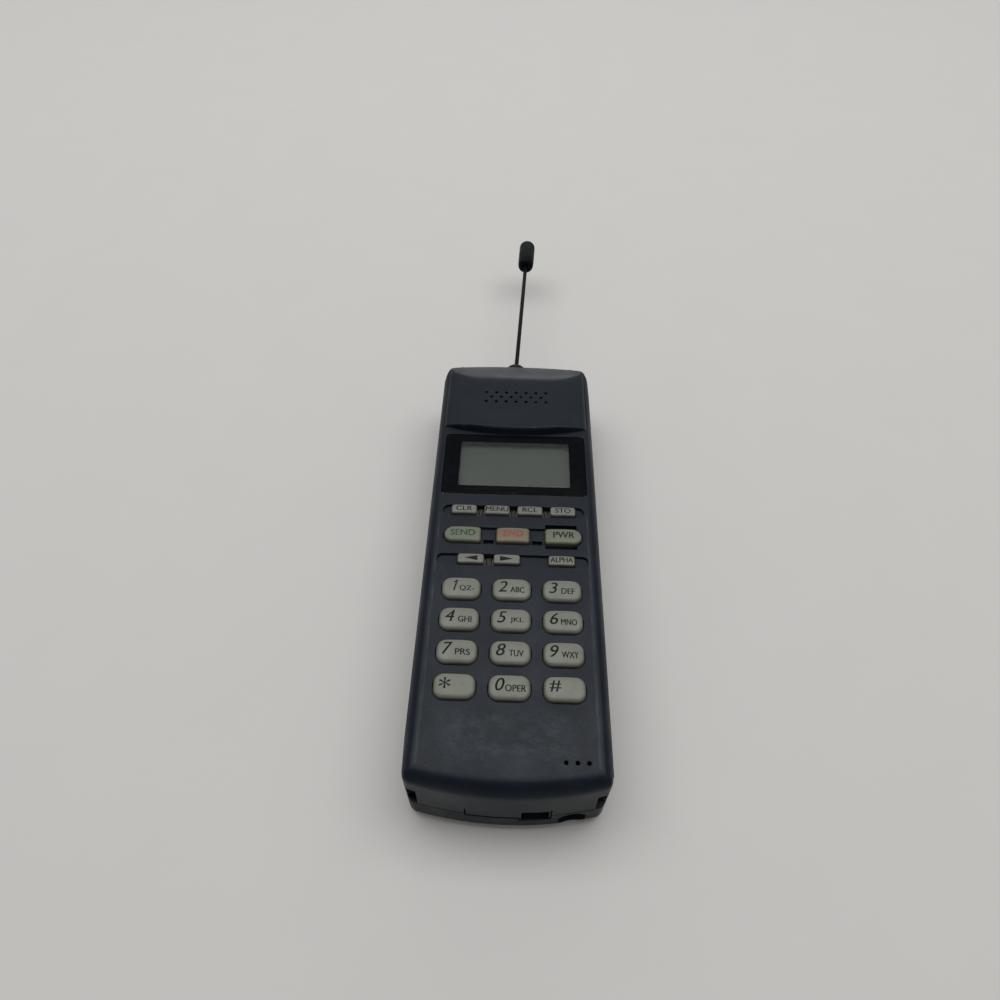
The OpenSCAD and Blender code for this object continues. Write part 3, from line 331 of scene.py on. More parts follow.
# Sleeved battery cells, blue heat-shrink film
SLEEVE = moulded("blue_shrink_film", "#2f4c72", "#48688f", 0.35, patch_mm=8, grain_um=5, scuff=0.5)
# Contacts, small plated parts, shield cans and screws
GILT = metal("gilt_spring_bronze", "#c9a560", "#8d6f3c", 0.3)
NICKEL = metal("nickel_plate", "#b9b6ad", "#8c8a83", 0.28)
TIN = metal("tin_plate", "#a9aaa6", "#858682", 0.42, brush_mm=0.5)
ZINC = metal("zinc_plated_screw", "#9a9c9b", "#6f706d", 0.4)
# Boards and display
BOARD = solder_mask()
PANE = clear_acrylic()
BORDER = printed_acrylic()
FILM = display_film()
# Number keys, memory and arrow keys, call keys, and the yellower end key
KEY_PAD = key_plastic("pale_key_plastic", "#6e7167", "#54574a", 27.3, 28.3)
KEY_SMALL = key_plastic("pale_small_key_plastic", "#696c63", "#4e5045", 26.9, 27.8)
KEY_CALL = key_plastic("pale_call_key_plastic", "#636757", "#505344", 27.0, 28.1)
KEY_END = key_plastic("yellowed_end_key_plastic", "#6a5f4d", "#534b3b", 27.0, 28.1)
# Lettering
INK = ink("black_key_ink", "#101215", "#26282b")
GREEN_INK = ink("green_key_ink", "#174230", "#35604a")
RED_INK = ink("red_key_ink", "#8e3b38", "#90564c")


def dress(piece, body, slot, *materials):
    """Gives a finished piece its body and its materials; slot is not used."""
    for material in materials:
        piece.data.materials.append(material)
    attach(piece, body)
    return piece


def make(name, points, faces):
    """A mesh object at the origin from points in millimetres and faces, shaded smooth."""
    mesh = bpy.data.meshes.new(name)
    mesh.from_pydata(np.asarray(points, float).reshape(-1, 3) * MM, [], faces)
    mesh.polygons.foreach_set("use_smooth", np.ones(len(mesh.polygons), bool))
    mesh.update()
    piece = bpy.data.objects.new(name, mesh)
    bpy.context.scene.collection.objects.link(piece)
    return piece


def values(items, name, kind, width=1):
    """One property of every item of a mesh collection as an array."""
    flat = np.empty(len(items) * width, kind)
    items.foreach_get(name, flat)
    return flat.reshape(-1, width) if width > 1 else flat


def creases(mesh):
    """Angle in degrees, middle and outwardness of every edge.

    The faces beside an edge meet at arccos(n1 . n2), and the edge stands out where n2 . (n1 x d) < 0,
    with d the edge's direction along the first face. An edge without two faces counts as flat.
    """
    loop_edge = values(mesh.loops, "edge_index", np.int32)
    loop_vertex = values(mesh.loops, "vertex_index", np.int32)
    start = values(mesh.polygons, "loop_start", np.int32)
    total = values(mesh.polygons, "loop_total", np.int32)
    normal = values(mesh.polygons, "normal", np.float32, 3).astype(float)
    co = values(mesh.vertices, "co", np.float32, 3).astype(float)
    owner = np.repeat(np.arange(len(start)), total)
    following = np.arange(len(loop_edge)) + 1
    following[start + total - 1] = start
    order = np.argsort(loop_edge, kind="stable")
    count = np.bincount(loop_edge, minlength=len(mesh.edges))
    first_at = np.cumsum(count) - count
    one = order[np.minimum(first_at, len(order) - 1)]
    two = order[np.minimum(first_at + 1, len(order) - 1)]
    n1, n2 = normal[owner[one]], normal[owner[two]]
    a, b = co[loop_vertex[one]], co[loop_vertex[following[one]]]
    angle = np.degrees(np.arccos(np.clip((n1 * n2).sum(1), -1, 1)))
    out = (n2 * np.cross(n1, b - a)).sum(1) < 0
    return np.where(count == 2, angle, 0), (a + b) / 2 / MM, out


# Faces that meet at less than this angle count as one flat area
FLAT_TURN = np.radians(0.4)


def softened(node, body, slot, finish, edge_finish=None, width=0.12, rule=None, crease=14.0, mould=None):
    """The node's own surface, corners merged and flat areas joined, with its standing-out creases rounded.

    The rounding is width, or what rule gives for the middle of each edge, where faces meet at over crease
    degrees; a crease that isn't rounded is kept sharp. mould reshapes the joined mesh first.
    """
    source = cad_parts[node].data
    corner = values(source.loops, "vertex_index", np.int32)
    places = np.round(values(source.vertices, "co", np.float32, 3), 6)
    points, index = np.unique(places, axis=0, return_inverse=True)
    tri = index.reshape(-1)[corner].reshape(-1, 3)
    kept = (tri[:, 0] != tri[:, 1]) & (tri[:, 1] != tri[:, 2]) & (tri[:, 2] != tri[:, 0])
    piece = make("soft_" + node, points / MM, tri[kept].tolist())
    mesh = piece.data
    bm = bmesh.new()
    bm.from_mesh(mesh)
    bmesh.ops.dissolve_limit(bm, angle_limit=FLAT_TURN, verts=bm.verts, edges=bm.edges)
    bm.to_mesh(mesh)
    bm.free()
    if mould:
        mould(mesh)
    mesh.polygons.foreach_set("use_smooth", np.ones(len(mesh.polygons), bool))
    angle, middle, out = creases(mesh)
    amount = np.full(len(angle), width) if rule is None else rule(*middle.T)
    amount = np.where(out & (angle > crease), amount, 0.0)
    weight = mesh.attributes.new("bevel_weight_edge", "FLOAT", "EDGE")
    weight.data.foreach_set("value", amount / amount.max())
    mesh.edges.foreach_set("use_edge_sharp", (angle > crease) & (amount == 0))
    bevel = piece.modifiers.new("rounding", "BEVEL")
    bevel.width = amount.max() * MM
    bevel.segments = 3
    bevel.limit_method = "WEIGHT"
    bevel.use_clamp_overlap = False
    bevel.material = 1 if edge_finish else -1
    piece.modifiers.new("shading", "WEIGHTED_NORMAL").keep_sharp = True
    dress(piece, body, slot, finish, *([edge_finish] if edge_finish else []))
    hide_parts(node)


def larger(a, b, soft):
    """The larger of a and b, or max + (soft - |a - b|)^2 / (4 soft) where they are less than soft apart."""
    near = np.maximum(soft - np.abs(a - b), 0)
    return np.maximum(a, b) + near ** 2 / (4 * np.maximum(soft, 1e-6))


def ramp(value, low, high):
    """0 below low and 1 above high, with a smooth rise 3 t^2 - 2 t^3 between."""
    t = np.clip((value - low) / (high - low), 0, 1)
    return t * t * (3 - 2 * t)


def rim_distance(x, y, z=None):
    """Distance inwards from the body's outline seen from above.

    It is the least of the distances to the long sides, to the head's arc and to the corner arcs, and at a
    height z also to the foot's arc, which leans in by z / FOOT_RISE.
    """
    wide = np.abs(x)
    ways = [HALF_WIDTH - wide, HEAD_R - np.hypot(x, y - HEAD_Y)]
    for corner_y, beyond in ((LOW_CORNER_Y, y < LOW_CORNER_Y), (HIGH_CORNER_Y, y > HIGH_CORNER_Y)):
        arc = CORNER_R - np.hypot(wide - CORNER_X, y - corner_y)
        ways.append(np.where((wide > CORNER_X) & beyond, arc, np.inf))
    if z is not None:
        ways.append(FOOT_R - z / FOOT_RISE - np.hypot(x, y - FOOT_Y))
    return np.minimum.reduce(ways)


# How wide the moulded front eases its creases: long edges, bevel, slope, foot's cone, outline, and the
# outline at the ends
EASE_EDGE, EASE_BEVEL, EASE_SLOPE, EASE_CONE, EASE_RIM, EASE_END = 0.24, 0.9, 0.5, 0.45, 0.13, 0.7


def front_skin(p, soft):
    """Distance outwards from the front's outer form at points p, with creases rounded if soft is 1.

    The lower part lies under the face, inside the long edges and inside the foot's bevel. The hood lies
    under its crown and behind its lip, r = LIP_R - z / LIP_RISE. Both lie under the head's slope and nose,
    inside the foot's cone, r = FOOT_R - z / FOOT_RISE, and inside the outline. Where forms meet, the larger
    distance counts, and the smaller where one adds to the other.
    """
    x, y, z = np.abs(p[:, 0]), p[:, 1], p[:, 2]
    over = np.maximum
    sides = np.hypot(over(x - EDGE_X, 0), over(z - EDGE_Z, 0)) - EDGE_R
    reach = over(np.hypot(x, y - BEVEL_Y) - BEVEL_REACH, 0)
    bevel = np.where(z > BEVEL_Z, np.hypot(reach, z - BEVEL_Z) - BEVEL_R, -BEVEL_R)
    low = larger(larger(z - FACE_Z, sides, EASE_EDGE * soft), bevel, EASE_BEVEL * soft)
    crown_top = over(z - HOOD_Z, np.hypot(over(x - CROWN_X, 0), z - CROWN_Z) - CROWN_R)
    flank = np.hypot(x - FLANK_X, z - FLANK_Z) - FLANK_R
    lip = np.hypot(x, y - LIP_Y) - LIP_R + z / LIP_RISE
    hood = over(np.where(x > CROWN_END, flank, crown_top), lip)
    sweep = np.hypot(over(y - SLOPE_Y, 0), z - SLOPE_Z) - SLOPE_R
    nose = np.hypot(y - NOSE_Y, over(z - NOSE_Z, 0)) - NOSE_R
    slope = np.where(y - SLOPE_Y > (z - SLOPE_Z) * np.tan(SLOPE_TURN), nose, sweep)
    high = ramp(z, 19, 22)
    body = larger(np.minimum(low, hood), slope, EASE_SLOPE * soft)
    body = larger(body, np.hypot(x, y - FOOT_Y) - FOOT_R + z / FOOT_RISE, EASE_CONE * soft * high)
    at_end = high * ramp(np.abs(y), 68, 76)
    return larger(body, -rim_distance(p[:, 0], y), soft * (EASE_RIM + EASE_END * at_end))


# Cuts through the front's skin: axis, places, and whether they run along the whole front or only at its ends
SHOULDERS = np.array([23.9, 24.25, 24.6, 24.95, 25.25, 25.75, 26.05, 26.4, 26.9, 27.4, 28.0])
SKIN_CUTS = (
    (0, np.concatenate([-SHOULDERS, SHOULDERS]), True),
    (1, np.arange(-84.4, -74, 0.4), True),
    (1, np.arange(69, 85.6, 0.55), True),
    (2, np.arange(19.6, 26.8, 0.45), False),
    (0, np.arange(-22.5, 23, 1.5), False),
)
ENDS_Y = 66.0
# Flat middle of the face, whose cuts are joined again
FLAT_X, FLAT_Y = 23.95, -74.1
# Distances that count as on the skin, on one plane and on a cut; step and least square of the gradient
ON_SKIN, ON_PLANE, CUT_NEAR, STEP, LEAST_RISE = 0.05, 0.02, 0.002, 0.02, 0.2
# Edges that the photo shows further out than the solids: the wells beside the end key by x, half width, y,
# top and shift, and the power key's guard slots by x, half width and foot, then y and shift of each edge
WELL_X, WELL_HALF, WELL_Y, WELL_TOP, WELL_SHIFT = 8.0, 1.75, -3.1, 26.1, 0.9
GUARD_X, GUARD_HALF, GUARD_FOOT = 15.85, 5.3, 25.3
GUARD_EDGES = ((3.15, 0.7), (-5.45, -0.35))


def on_face(vertex):
    """Whether a vertex lies on the flat face."""
    return abs(vertex.co.z - FACE_Z * MM) < ON_PLANE * MM


def moulded_skin(mesh):
    """Cuts the front's outer faces into narrow strips near its creases and draws them onto the rounded form.

    Each point p of the skin moves to p - d g / |g|^2 twice, with d the distance to the rounded form and
    g its gradient by central differences.
    """
    near = np.abs(front_skin(values(mesh.vertices, "co", np.float32, 3) / MM, 0.0)) < ON_SKIN
    start = values(mesh.polygons, "loop_start", np.int32)
    skin = np.logical_and.reduceat(near[values(mesh.loops, "vertex_index", np.int32)], start)
    mesh.polygons.foreach_set("material_index", skin.astype(np.int32))
    bm = bmesh.new()
    bm.from_mesh(mesh)
    # The flat face has many openings, and cuts through it hold only once it is in triangles
    bmesh.ops.triangulate(bm, faces=[f for f in bm.faces if f.material_index and all(map(on_face, f.verts))])
    for axis, places, whole in SKIN_CUTS:
        normal = np.eye(3)[axis]
        for place in places:
            faces = [f for f in bm.faces
                     if f.material_index and (whole or abs(f.verts[0].co.y) > ENDS_Y * MM)]
            geometry = set(faces)
            for face in faces:
                geometry.update(face.edges, face.verts)
            bmesh.ops.bisect_plane(
                bm, geom=list(geometry), dist=CUT_NEAR * MM, plane_co=(normal * place * MM).tolist(),
                plane_no=normal.tolist())
    inner = [e for e in bm.edges if all(
        on_face(v) and abs(v.co.x) < FLAT_X * MM and v.co.y > FLAT_Y * MM for v in e.verts)]
    bmesh.ops.dissolve_limit(bm, angle_limit=FLAT_TURN, verts=[], edges=inner)
    bm.to_mesh(mesh)
    bm.free()
    mesh.polygons.foreach_set("material_index", np.zeros(len(mesh.polygons), np.int32))
    p = values(mesh.vertices, "co", np.float32, 3).astype(float) / MM
    near = np.abs(front_skin(p, 0.0)) < ON_SKIN
    for _ in range(2):
        rises = [front_skin(p + step, 1.0) - front_skin(p - step, 1.0) for step in np.eye(3) * STEP]
        g = np.stack(rises, -1) / (2 * STEP)
        d = front_skin(p, 1.0) / np.maximum((g ** 2).sum(-1), LEAST_RISE)
        p = np.where(near[:, None], p - d[:, None] * g, p)
    well = (np.abs(np.abs(p[:, 0]) - WELL_X) < WELL_HALF) & (p[:, 2] < WELL_TOP)
    p[:, 1] += np.where(well & (np.abs(p[:, 1] - WELL_Y) < ON_PLANE), WELL_SHIFT, 0)
    guard = (np.abs(p[:, 0] - GUARD_X) < GUARD_HALF) & (p[:, 2] > GUARD_FOOT)
    for edge_y, shift in GUARD_EDGES:
        p[:, 1] += np.where(guard & (np.abs(p[:, 1] - edge_y) < ON_PLANE), shift, 0)
    mesh.vertices.foreach_set("co", (p * MM).astype(np.float32).reshape(-1))
    mesh.update()


# Edges this near the outline are rounded by RIM_ROUND
RIM_NEAR, RIM_ROUND = 0.35, 0.15


def front_rounding(x, y, z):
    """Rounding of the front housing by place.

    It is RIM_ROUND along the outline, 0.06 round the display's opening and 0.14 round the keys', 0.18 on the
    hood's lip and 0.1 round the sound holes, and none where the moulded skin is round already.
    """
    size = np.where(rim_distance(x, y, z) < RIM_NEAR, RIM_ROUND, 0.0)
    face = np.abs(z - FACE_Z) < 0.03
    size = np.where(face, np.where(y > 15.5, 0.06, 0.14), size)
    hood = z > FACE_Z + 0.2
    size = np.where(hood, np.where(y < 51, 0.18, 0.1), size)
    ends = ((y < -73.5) | (y > 68)) & (z > 19)
    return np.where(ends | (np.abs(x) > 24.4), 0.0, size)


def back_rounding(x, y, z):
    """Rounding of the rear housing and the battery: RIM_ROUND along the outline, 0.2 round the flat back."""
    size = np.where(rim_distance(x, y, z) < RIM_NEAR, RIM_ROUND, 0.0)
    return np.where(z < 0.05, 0.2, size)


def rounded_rings(half_w, half_h, left_r, right_r, steps=7, between=5):
    """Rings round a rectangle with rounded ends, counter-clockwise.

    Each corner is its centre plus r (cos a, sin a) over a quarter turn; each side is a straight run of
    points from one corner to the next. The sizes are arrays with one value for each ring.
    """
    half_w, half_h, left_r, right_r = (np.asarray(v, float)[:, None] for v in np.broadcast_arrays(
        half_w, half_h, left_r, right_r))
    quarter = np.linspace(0, np.pi / 2, steps + 1)[None, :]
    runs = []
    for turn, (sx, sy) in enumerate(((1, -1), (1, 1), (-1, 1), (-1, -1))):
        r = right_r if sx > 0 else left_r
        a = quarter + (turn - 1) * np.pi / 2
        runs.append(np.stack([sx * (half_w - r) + r * np.cos(a), sy * (half_h - r) + r * np.sin(a)], -1))
    t = (np.arange(1, between + 1) / (between + 1))[None, :, None]
    whole = []
    for turn in range(4):
        start, end = runs[turn][:, -1:], runs[(turn + 1) % 4][:, :1]
        whole += [runs[turn], start + (end - start) * t]
    return np.concatenate(whole, 1)


def ring_faces(rings, count, closed=False):
    """Quads between neighbouring rings, with both ends capped, or the last ring joined to the first."""
    i, j = np.meshgrid(np.arange(rings if closed else rings - 1), np.arange(count), indexing="ij")
    k, n = (j + 1) % count, (i + 1) % rings
    quads = np.stack([i * count + j, i * count + k, n * count + k, n * count + j], -1).reshape(-1, 4).tolist()
    if closed:
        return quads
    return quads + [np.arange(count)[::-1].tolist(), (np.arange(count) + (rings - 1) * count).tolist()]


def folded(piece):
    """Keeps the folds of a ring-built piece crisp: its shading breaks where faces meet at over 50 degrees."""
    piece.modifiers.new("folds", "EDGE_SPLIT").split_angle = np.radians(50)
    return piece


def crown(x, y, top):
    """Height of a key's crown: top - x^2 / 90 - y^2 / 60, a shallow pillow."""
    return top - x ** 2 / 90 - y ** 2 / 60


# Keys: height of the stem's foot and of the flange's two sides, how far the flange stands out, the stem's
# share of the cap's width and height, the stem's corner, and the smallest corner of a crown
STEM_Z, FLANGE_Z, FLANGE_TOP, FLANGE_OUT = 21.8, 23.95, 24.85, 0.6
STEM_W, STEM_H, STEM_R, LEAST_R = 0.55, 0.5, 0.6, 0.12


def key_cap(node, x, y, w, h, left_r, right_r, top, edge, finish, flange=FLANGE_OUT):
    """A pillow key: stem, flange, wall, a quarter-round edge that follows the crown, and the crown itself.

    Ring by ring the half sizes and radii shrink together; the flange adds flange to the radii. On the edge
    the inset is edge (1 - cos a) and the drop below the crown is edge (1 - sin a).
    """
    a = np.linspace(0, np.pi / 2, 7)
    inset = edge * (1 - np.cos(a))
    drop = edge * (1 - np.sin(a))
    shrink = np.linspace(1, 0.04, 9)[1:]
    half_w, half_h = w / 2, h / 2
    stem = (half_w * STEM_W, half_h * STEM_H, STEM_R, STEM_R)
    collar = (half_w + FLANGE_OUT, half_h + FLANGE_OUT, left_r + flange, right_r + flange)
    low = np.array([
        (0.05, 0.05, 0.04, 0.04, STEM_Z), (*stem, STEM_Z), (*stem, FLANGE_Z), (*collar, FLANGE_Z),
        (*collar, FLANGE_TOP), (half_w, half_h, left_r, right_r, FLANGE_TOP)])
    plan = rounded_rings(*(
        np.concatenate([foot, np.maximum(size - inset, LEAST_R), max(size - edge, LEAST_R) * shrink])
        for foot, size in zip(low.T, (half_w, half_h, left_r, right_r))))
    z = crown(plan[..., 0], plan[..., 1], top)
    z[:len(low)] = low[:, 4:]
    z[len(low):len(low) + len(drop)] -= drop[:, None]
    points = np.concatenate([plan + [x, y], z[..., None]], -1)
    piece = folded(make("cap_" + node, points, ring_faces(*points.shape[:2])))
    dress(piece, node + "_cap", "key_plastic", finish)
    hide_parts(node)


def glyphs(text, x, y, height, width=None, shear=0.0, weight=0.05):
    """Flat points and triangles of a word, its box centred on x, y and scaled to height and width.

    The word is struck twice, weight to the left and weight to the right, for a bolder stroke.
    """
    curve = bpy.data.curves.new("word", "FONT")
    curve.body = text
    curve.shear = shear
    curve.resolution_u = 4
    holder = bpy.data.objects.new("word", curve)
    bpy.context.scene.collection.objects.link(holder)
    mesh = bpy.data.meshes.new_from_object(holder.evaluated_get(bpy.context.evaluated_depsgraph_get()))
    mesh.calc_loop_triangles()
    flat = values(mesh.vertices, "co", np.float32, 3)[:, :2].astype(float)
    tri = values(mesh.loop_triangles, "vertices", np.int32, 3)
    bpy.data.objects.remove(holder)
    bpy.data.curves.remove(curve)
    bpy.data.meshes.remove(mesh)
    low, high = flat.min(0), flat.max(0)
    scale = np.array([height / (high - low)[1]] * 2)
    if width:
        scale[0] = width / (high - low)[0]
    flat = (flat - (low + high) / 2) * scale + [x, y]
    return np.concatenate([flat - [weight, 0], flat + [weight, 0]]), np.concatenate([tri, tri + len(flat)])


# Lean of the figures, sideways for each 1 upwards, and their height
SLANT, FIGURE_H = 0.22, 3.9


def figure_one(x, y):
    """The figure 1 with a flag, FIGURE_H high and leaning by SLANT, as points and triangles."""
    flat = np.array([
        [0.62, 0], [1.1, 0], [1.1, FIGURE_H], [0.62, FIGURE_H], [0.5, 3.45], [0, 3.15], [0, 2.8],
        [0.62, 3.05]])
    flat = flat - [0.55, FIGURE_H / 2]
    return flat + np.outer(flat[:, 1], [SLANT, 0]) + [x, y], np.array([
        [0, 1, 7], [1, 2, 7], [2, 3, 7], [7, 3, 4], [7, 4, 5], [7, 5, 6]])


def sides_of(tri):
    """The three sides of every triangle: all first sides, then all second and all third ones."""
    return np.concatenate([tri[:, [0, 1]], tri[:, [1, 2]], tri[:, [2, 0]]])


def quartered(flat, tri):
    """Each triangle split at the middles of its sides into four, with shared middles."""
    pair, index = np.unique(np.sort(sides_of(tri), 1), axis=0, return_inverse=True)
    ab, bc, ca = index.reshape(3, -1) + len(flat)
    a, b, c = tri.T
    split = np.concatenate([np.stack(t, -1) for t in ((a, ab, ca), (ab, b, bc), (ca, bc, c), (ab, bc, ca))])
    return np.concatenate([flat, flat[pair].mean(1)]), split


# Height of the printed ink over the crown, and how deep its skirt is sunk
INK_RISE, INK_SINK = 0.02, 0.05


def legend(node, x, y, top, words, finish):
    """Printed words on a key's crown: each flat shape is laid over the crown, with a skirt sunk into it."""
    flats, tris, start = [], [], 0
    for word in words:
        flat, tri = quartered(*quartered(*word))
        flats.append(flat)
        tris.append(tri + start)
        start += len(flat)
    flat, tri = np.concatenate(flats), np.concatenate(tris)
    turned = np.cross(flat[tri[:, 1]] - flat[tri[:, 0]], flat[tri[:, 2]] - flat[tri[:, 0]]) < 0
    tri = np.where(turned[:, None], tri[:, ::-1], tri)
    edge = sides_of(tri).astype(np.int64)
    rim = edge[~np.isin(edge[:, 0] * start + edge[:, 1], edge[:, 1] * start + edge[:, 0])]
    z = crown(flat[:, 0], flat[:, 1], top)
    upper = np.column_stack([flat + [x, y], z + INK_RISE])
    lower = np.column_stack([flat + [x, y], z - INK_SINK])
    skirt = np.column_stack([rim[:, 1], rim[:, 0], rim[:, 0] + start, rim[:, 1] + start])
    faces = tri.tolist() + (tri[:, ::-1] + start).tolist() + skirt.tolist()
    piece = make("legend_" + node, np.concatenate([upper, lower]), faces)
    piece.data.polygons.foreach_set("use_smooth", np.zeros(len(faces), bool))
    dress(piece, node + "_cap", "key_plastic", finish)


def arrow(direction):
    """A long solid triangle, 4.3 mm by 1.9 mm, split once into four."""
    flat = np.array([[-2.1, 0.0], [2.2, -0.95], [2.2, 0.95]]) * [direction, 1]
    return quartered(flat, np.array([[0, 1, 2]]))


# Softened mouldings: each stands for its solid
softened("front_housing", "phone", "housing_plastic", HOUSING, HOUSING_EDGE, rule=front_rounding, crease=24.0,
         mould=moulded_skin)
softened("rear_housing", "phone", "housing_plastic", HOUSING, HOUSING_EDGE, rule=back_rounding)
softened("battery_case", "battery", "battery_plastic", PACK, PACK_EDGE, rule=back_rounding)
softened("battery_cover", "battery", "battery_plastic", PACK, PACK_EDGE)
softened("battery_latch", "latch", "latch_plastic", LATCH)
softened("antenna_bushing", "phone", "black_plastic", NYLON, width=0.15)
softened("system_connector", "phone", "black_plastic", HOUSING, HOUSING_EDGE, width=0.1)
softened("keypad_mat", "phone", "mat_rubber", MAT, width=0.1)
softened("connector_contacts", "phone", "gilt_contact", NICKEL, width=0.06)
softened("housing_screws", "phone", "screw_steel", ZINC, width=0.08)

# Number keys: pitch, first row, size, corner, edge and top; each key's column, row, figure, letters and
# the letters' width
PITCH_X, PITCH_Y, PAD_Y = 15.68, 10.75, -22.0
PAD_W, PAD_H, PAD_R, PAD_EDGE, PAD_TOP = 12.1, 7.6, 2.8, 1.05, FACE_Z + 1.6
PAD = (
    ("key_1", 0, 0, "1", "QZ-", 4.4), ("key_2", 1, 0, "2", "ABC", 4.3), ("key_3", 2, 0, "3", "DEF", 4.1),
    ("key_4", 0, 1, "4", "GHI", 4.0), ("key_5", 1, 1, "5", "JKL", 4.0), ("key_6", 2, 1, "6", "MNO", 4.8),
    ("key_7", 0, 2, "7", "PRS", 4.3), ("key_8", 1, 2, "8", "TUV", 4.2), ("key_9", 2, 2, "9", "WXY", 4.9),
    ("key_star", 0, 3, "*", "", 0), ("key_0", 1, 3, "0", "OPER", 5.9), ("key_hash", 2, 3, "#", "", 0),
)
for node, column, row, digit, letters, width in PAD:
    x, y = (column - 1) * PITCH_X, PAD_Y - row * PITCH_Y
    key_cap(node, x, y, PAD_W, PAD_H, PAD_R, PAD_R, PAD_TOP, PAD_EDGE, KEY_PAD, flange=1.0)
    if not letters:
        words = [glyphs(digit, -2.7, 0.6, 3.4, 3.2, weight=0.06)]
    elif digit == "1":
        words = [figure_one(-2.1, 0.65), glyphs(letters, 1.75, -0.45, 2.0, width)]
    else:
        words = [glyphs(digit, -2.75, 0.65, FIGURE_H, shear=SLANT), glyphs(letters, 1.75, -0.45, 2.0, width)]
    legend(node, x, y, PAD_TOP, words, INK)

# Memory, arrow and letter keys: place, word and its width, or the arrow's direction
SMALL_W, SMALL_H, SMALL_R, SMALL_EDGE, SMALL_TOP = 8.45, 3.5, 0.8, 0.5, FACE_Z + 1.0
MEMORY_Y, ARROW_Y = 9.25, -10.65
for node, x, y, word, width in (
    ("key_clear", -16.65, MEMORY_Y, "CLR", 5.4), ("key_menu", -5.55, MEMORY_Y, "MENU", 7.6),
    ("key_recall", 5.55, MEMORY_Y, "RCL", 5.0), ("key_store", 16.65, MEMORY_Y, "STO", 5.1),
    ("key_left", -13.4, ARROW_Y, "", 1), ("key_right", -1.8, ARROW_Y, "", -1),
    ("key_alpha", 15.8, ARROW_Y, "ALPHA", 7.2),
):
    key_cap(node, x, y, SMALL_W, SMALL_H, SMALL_R, SMALL_R, SMALL_TOP, SMALL_EDGE, KEY_SMALL)
    words = [glyphs(word, 0, 0.15, 1.95, width) if word else arrow(width)]
    legend(node, x, y, SMALL_TOP, words, INK)

# Call keys: place, width, corners of the left and right end, word and its width, plastic and ink
CALL_Y, CALL_H, CALL_EDGE, CALL_TOP = -1.15, 5.9, 0.75, FACE_Z + 1.3
for node, x, w, left_r, right_r, word, width, finish, colour in (
    ("key_send", -16.6, 12.2, 2.95, 1.0, "SEND", 8.0, KEY_CALL, GREEN_INK),
    ("key_end", 0.0, 11.0, 1.0, 1.0, "END", 6.3, KEY_END, RED_INK),
    ("key_power", 16.6, 12.2, 1.0, 2.95, "PWR", 6.9, KEY_CALL, INK),
):
    key_cap(node, x, CALL_Y, w, CALL_H, left_r, right_r, CALL_TOP, CALL_EDGE, finish)
    legend(node, x, CALL_Y, CALL_TOP, [glyphs(word, 0.1, 0.3, 2.4, width)], colour)


def pane(name, rows, closed, finish):
    """A flat pane of rings; each row has half width, half height, corner radius, middle in Y and height."""
    half_w, half_h, r, mid, z = np.array(rows, float).T
    plan = rounded_rings(half_w, half_h, r, r)
    plan[..., 1] += mid[:, None]
    points = np.concatenate([plan, np.broadcast_to(z[:, None, None], (*plan.shape[:2], 1))], -1)
    piece = folded(make(name, points, ring_faces(*points.shape[:2], closed)))
    return dress(piece, "phone", "display_pane", finish)


# Display pane: a black-backed border with eased edges, and the clear field inside it
PANE_Y, VIEW_Y, LOW, TOP = 30.3, 30.65, 25.66, 26.85
FIELD_LOW, FIELD_TOP = TOP - 0.1, TOP - 0.01
border = pane("display_border", [
    (25.2, 14.1, 1.4, PANE_Y, LOW), (25.2, 14.1, 1.4, PANE_Y, TOP - 0.12),
    (25.16, 14.06, 1.36, PANE_Y, TOP - 0.04), (25.08, 13.98, 1.28, PANE_Y, TOP),
    (25.0, 13.9, 1.2, PANE_Y, TOP), (19.65, 10.45, 0.6, VIEW_Y, TOP),
    (19.55, 10.35, 0.5, VIEW_Y, TOP), (19.55, 10.35, 0.5, VIEW_Y, LOW)], True, BORDER)
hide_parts("display_window")
pane("display_field", [
    (0.05, 0.05, 0.03, VIEW_Y, FIELD_LOW), (19.5, 10.3, 0.45, VIEW_Y, FIELD_LOW),
    (19.5, 10.3, 0.45, VIEW_Y, FIELD_TOP), (0.05, 0.05, 0.03, VIEW_Y, FIELD_TOP)], False, PANE)

# Antenna tip: a turned profile about the whip, radius against way, with a rolled lower rim and a domed end
LEAN = np.radians(2.6)
WHIP_FOOT = np.array([-0.45, 85.0, 17.9])
WHIP_WAY = np.array([np.sin(LEAN), np.cos(LEAN), 0.0])
TIP_START, TIP_END, TIP_R, DOME_R = 80.1, 98.6, 3.7, 2.4
dome = np.linspace(0, np.pi / 2, 10)
profile_r = np.concatenate([
    [0.88, 0.95, 2.5, 2.95, 3.3, 3.5, 3.62, TIP_R], TIP_R - DOME_R + DOME_R * np.cos(dome), [0.4, 0.03]])
profile_s = np.concatenate([
    TIP_START + np.array([2.0, 0.05, 0.0, 0.12, 0.5, 1.1, 2.0, 5.0]),
    TIP_END - DOME_R + DOME_R * np.sin(dome), [TIP_END, TIP_END]])
turn = np.linspace(0, 2 * np.pi, 48, endpoint=False)[:, None]
outward = np.cos(turn) * [np.cos(LEAN), -np.sin(LEAN), 0] - np.sin(turn) * [0, 0, 1]
tip_points = WHIP_FOOT + profile_s[:, None, None] * WHIP_WAY + profile_r[:, None, None] * outward[None]
tip = make("turned_antenna_tip", tip_points, ring_faces(*tip_points.shape[:2]))
dress(tip, "antenna", "black_plastic", TIP)
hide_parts("antenna_tip")

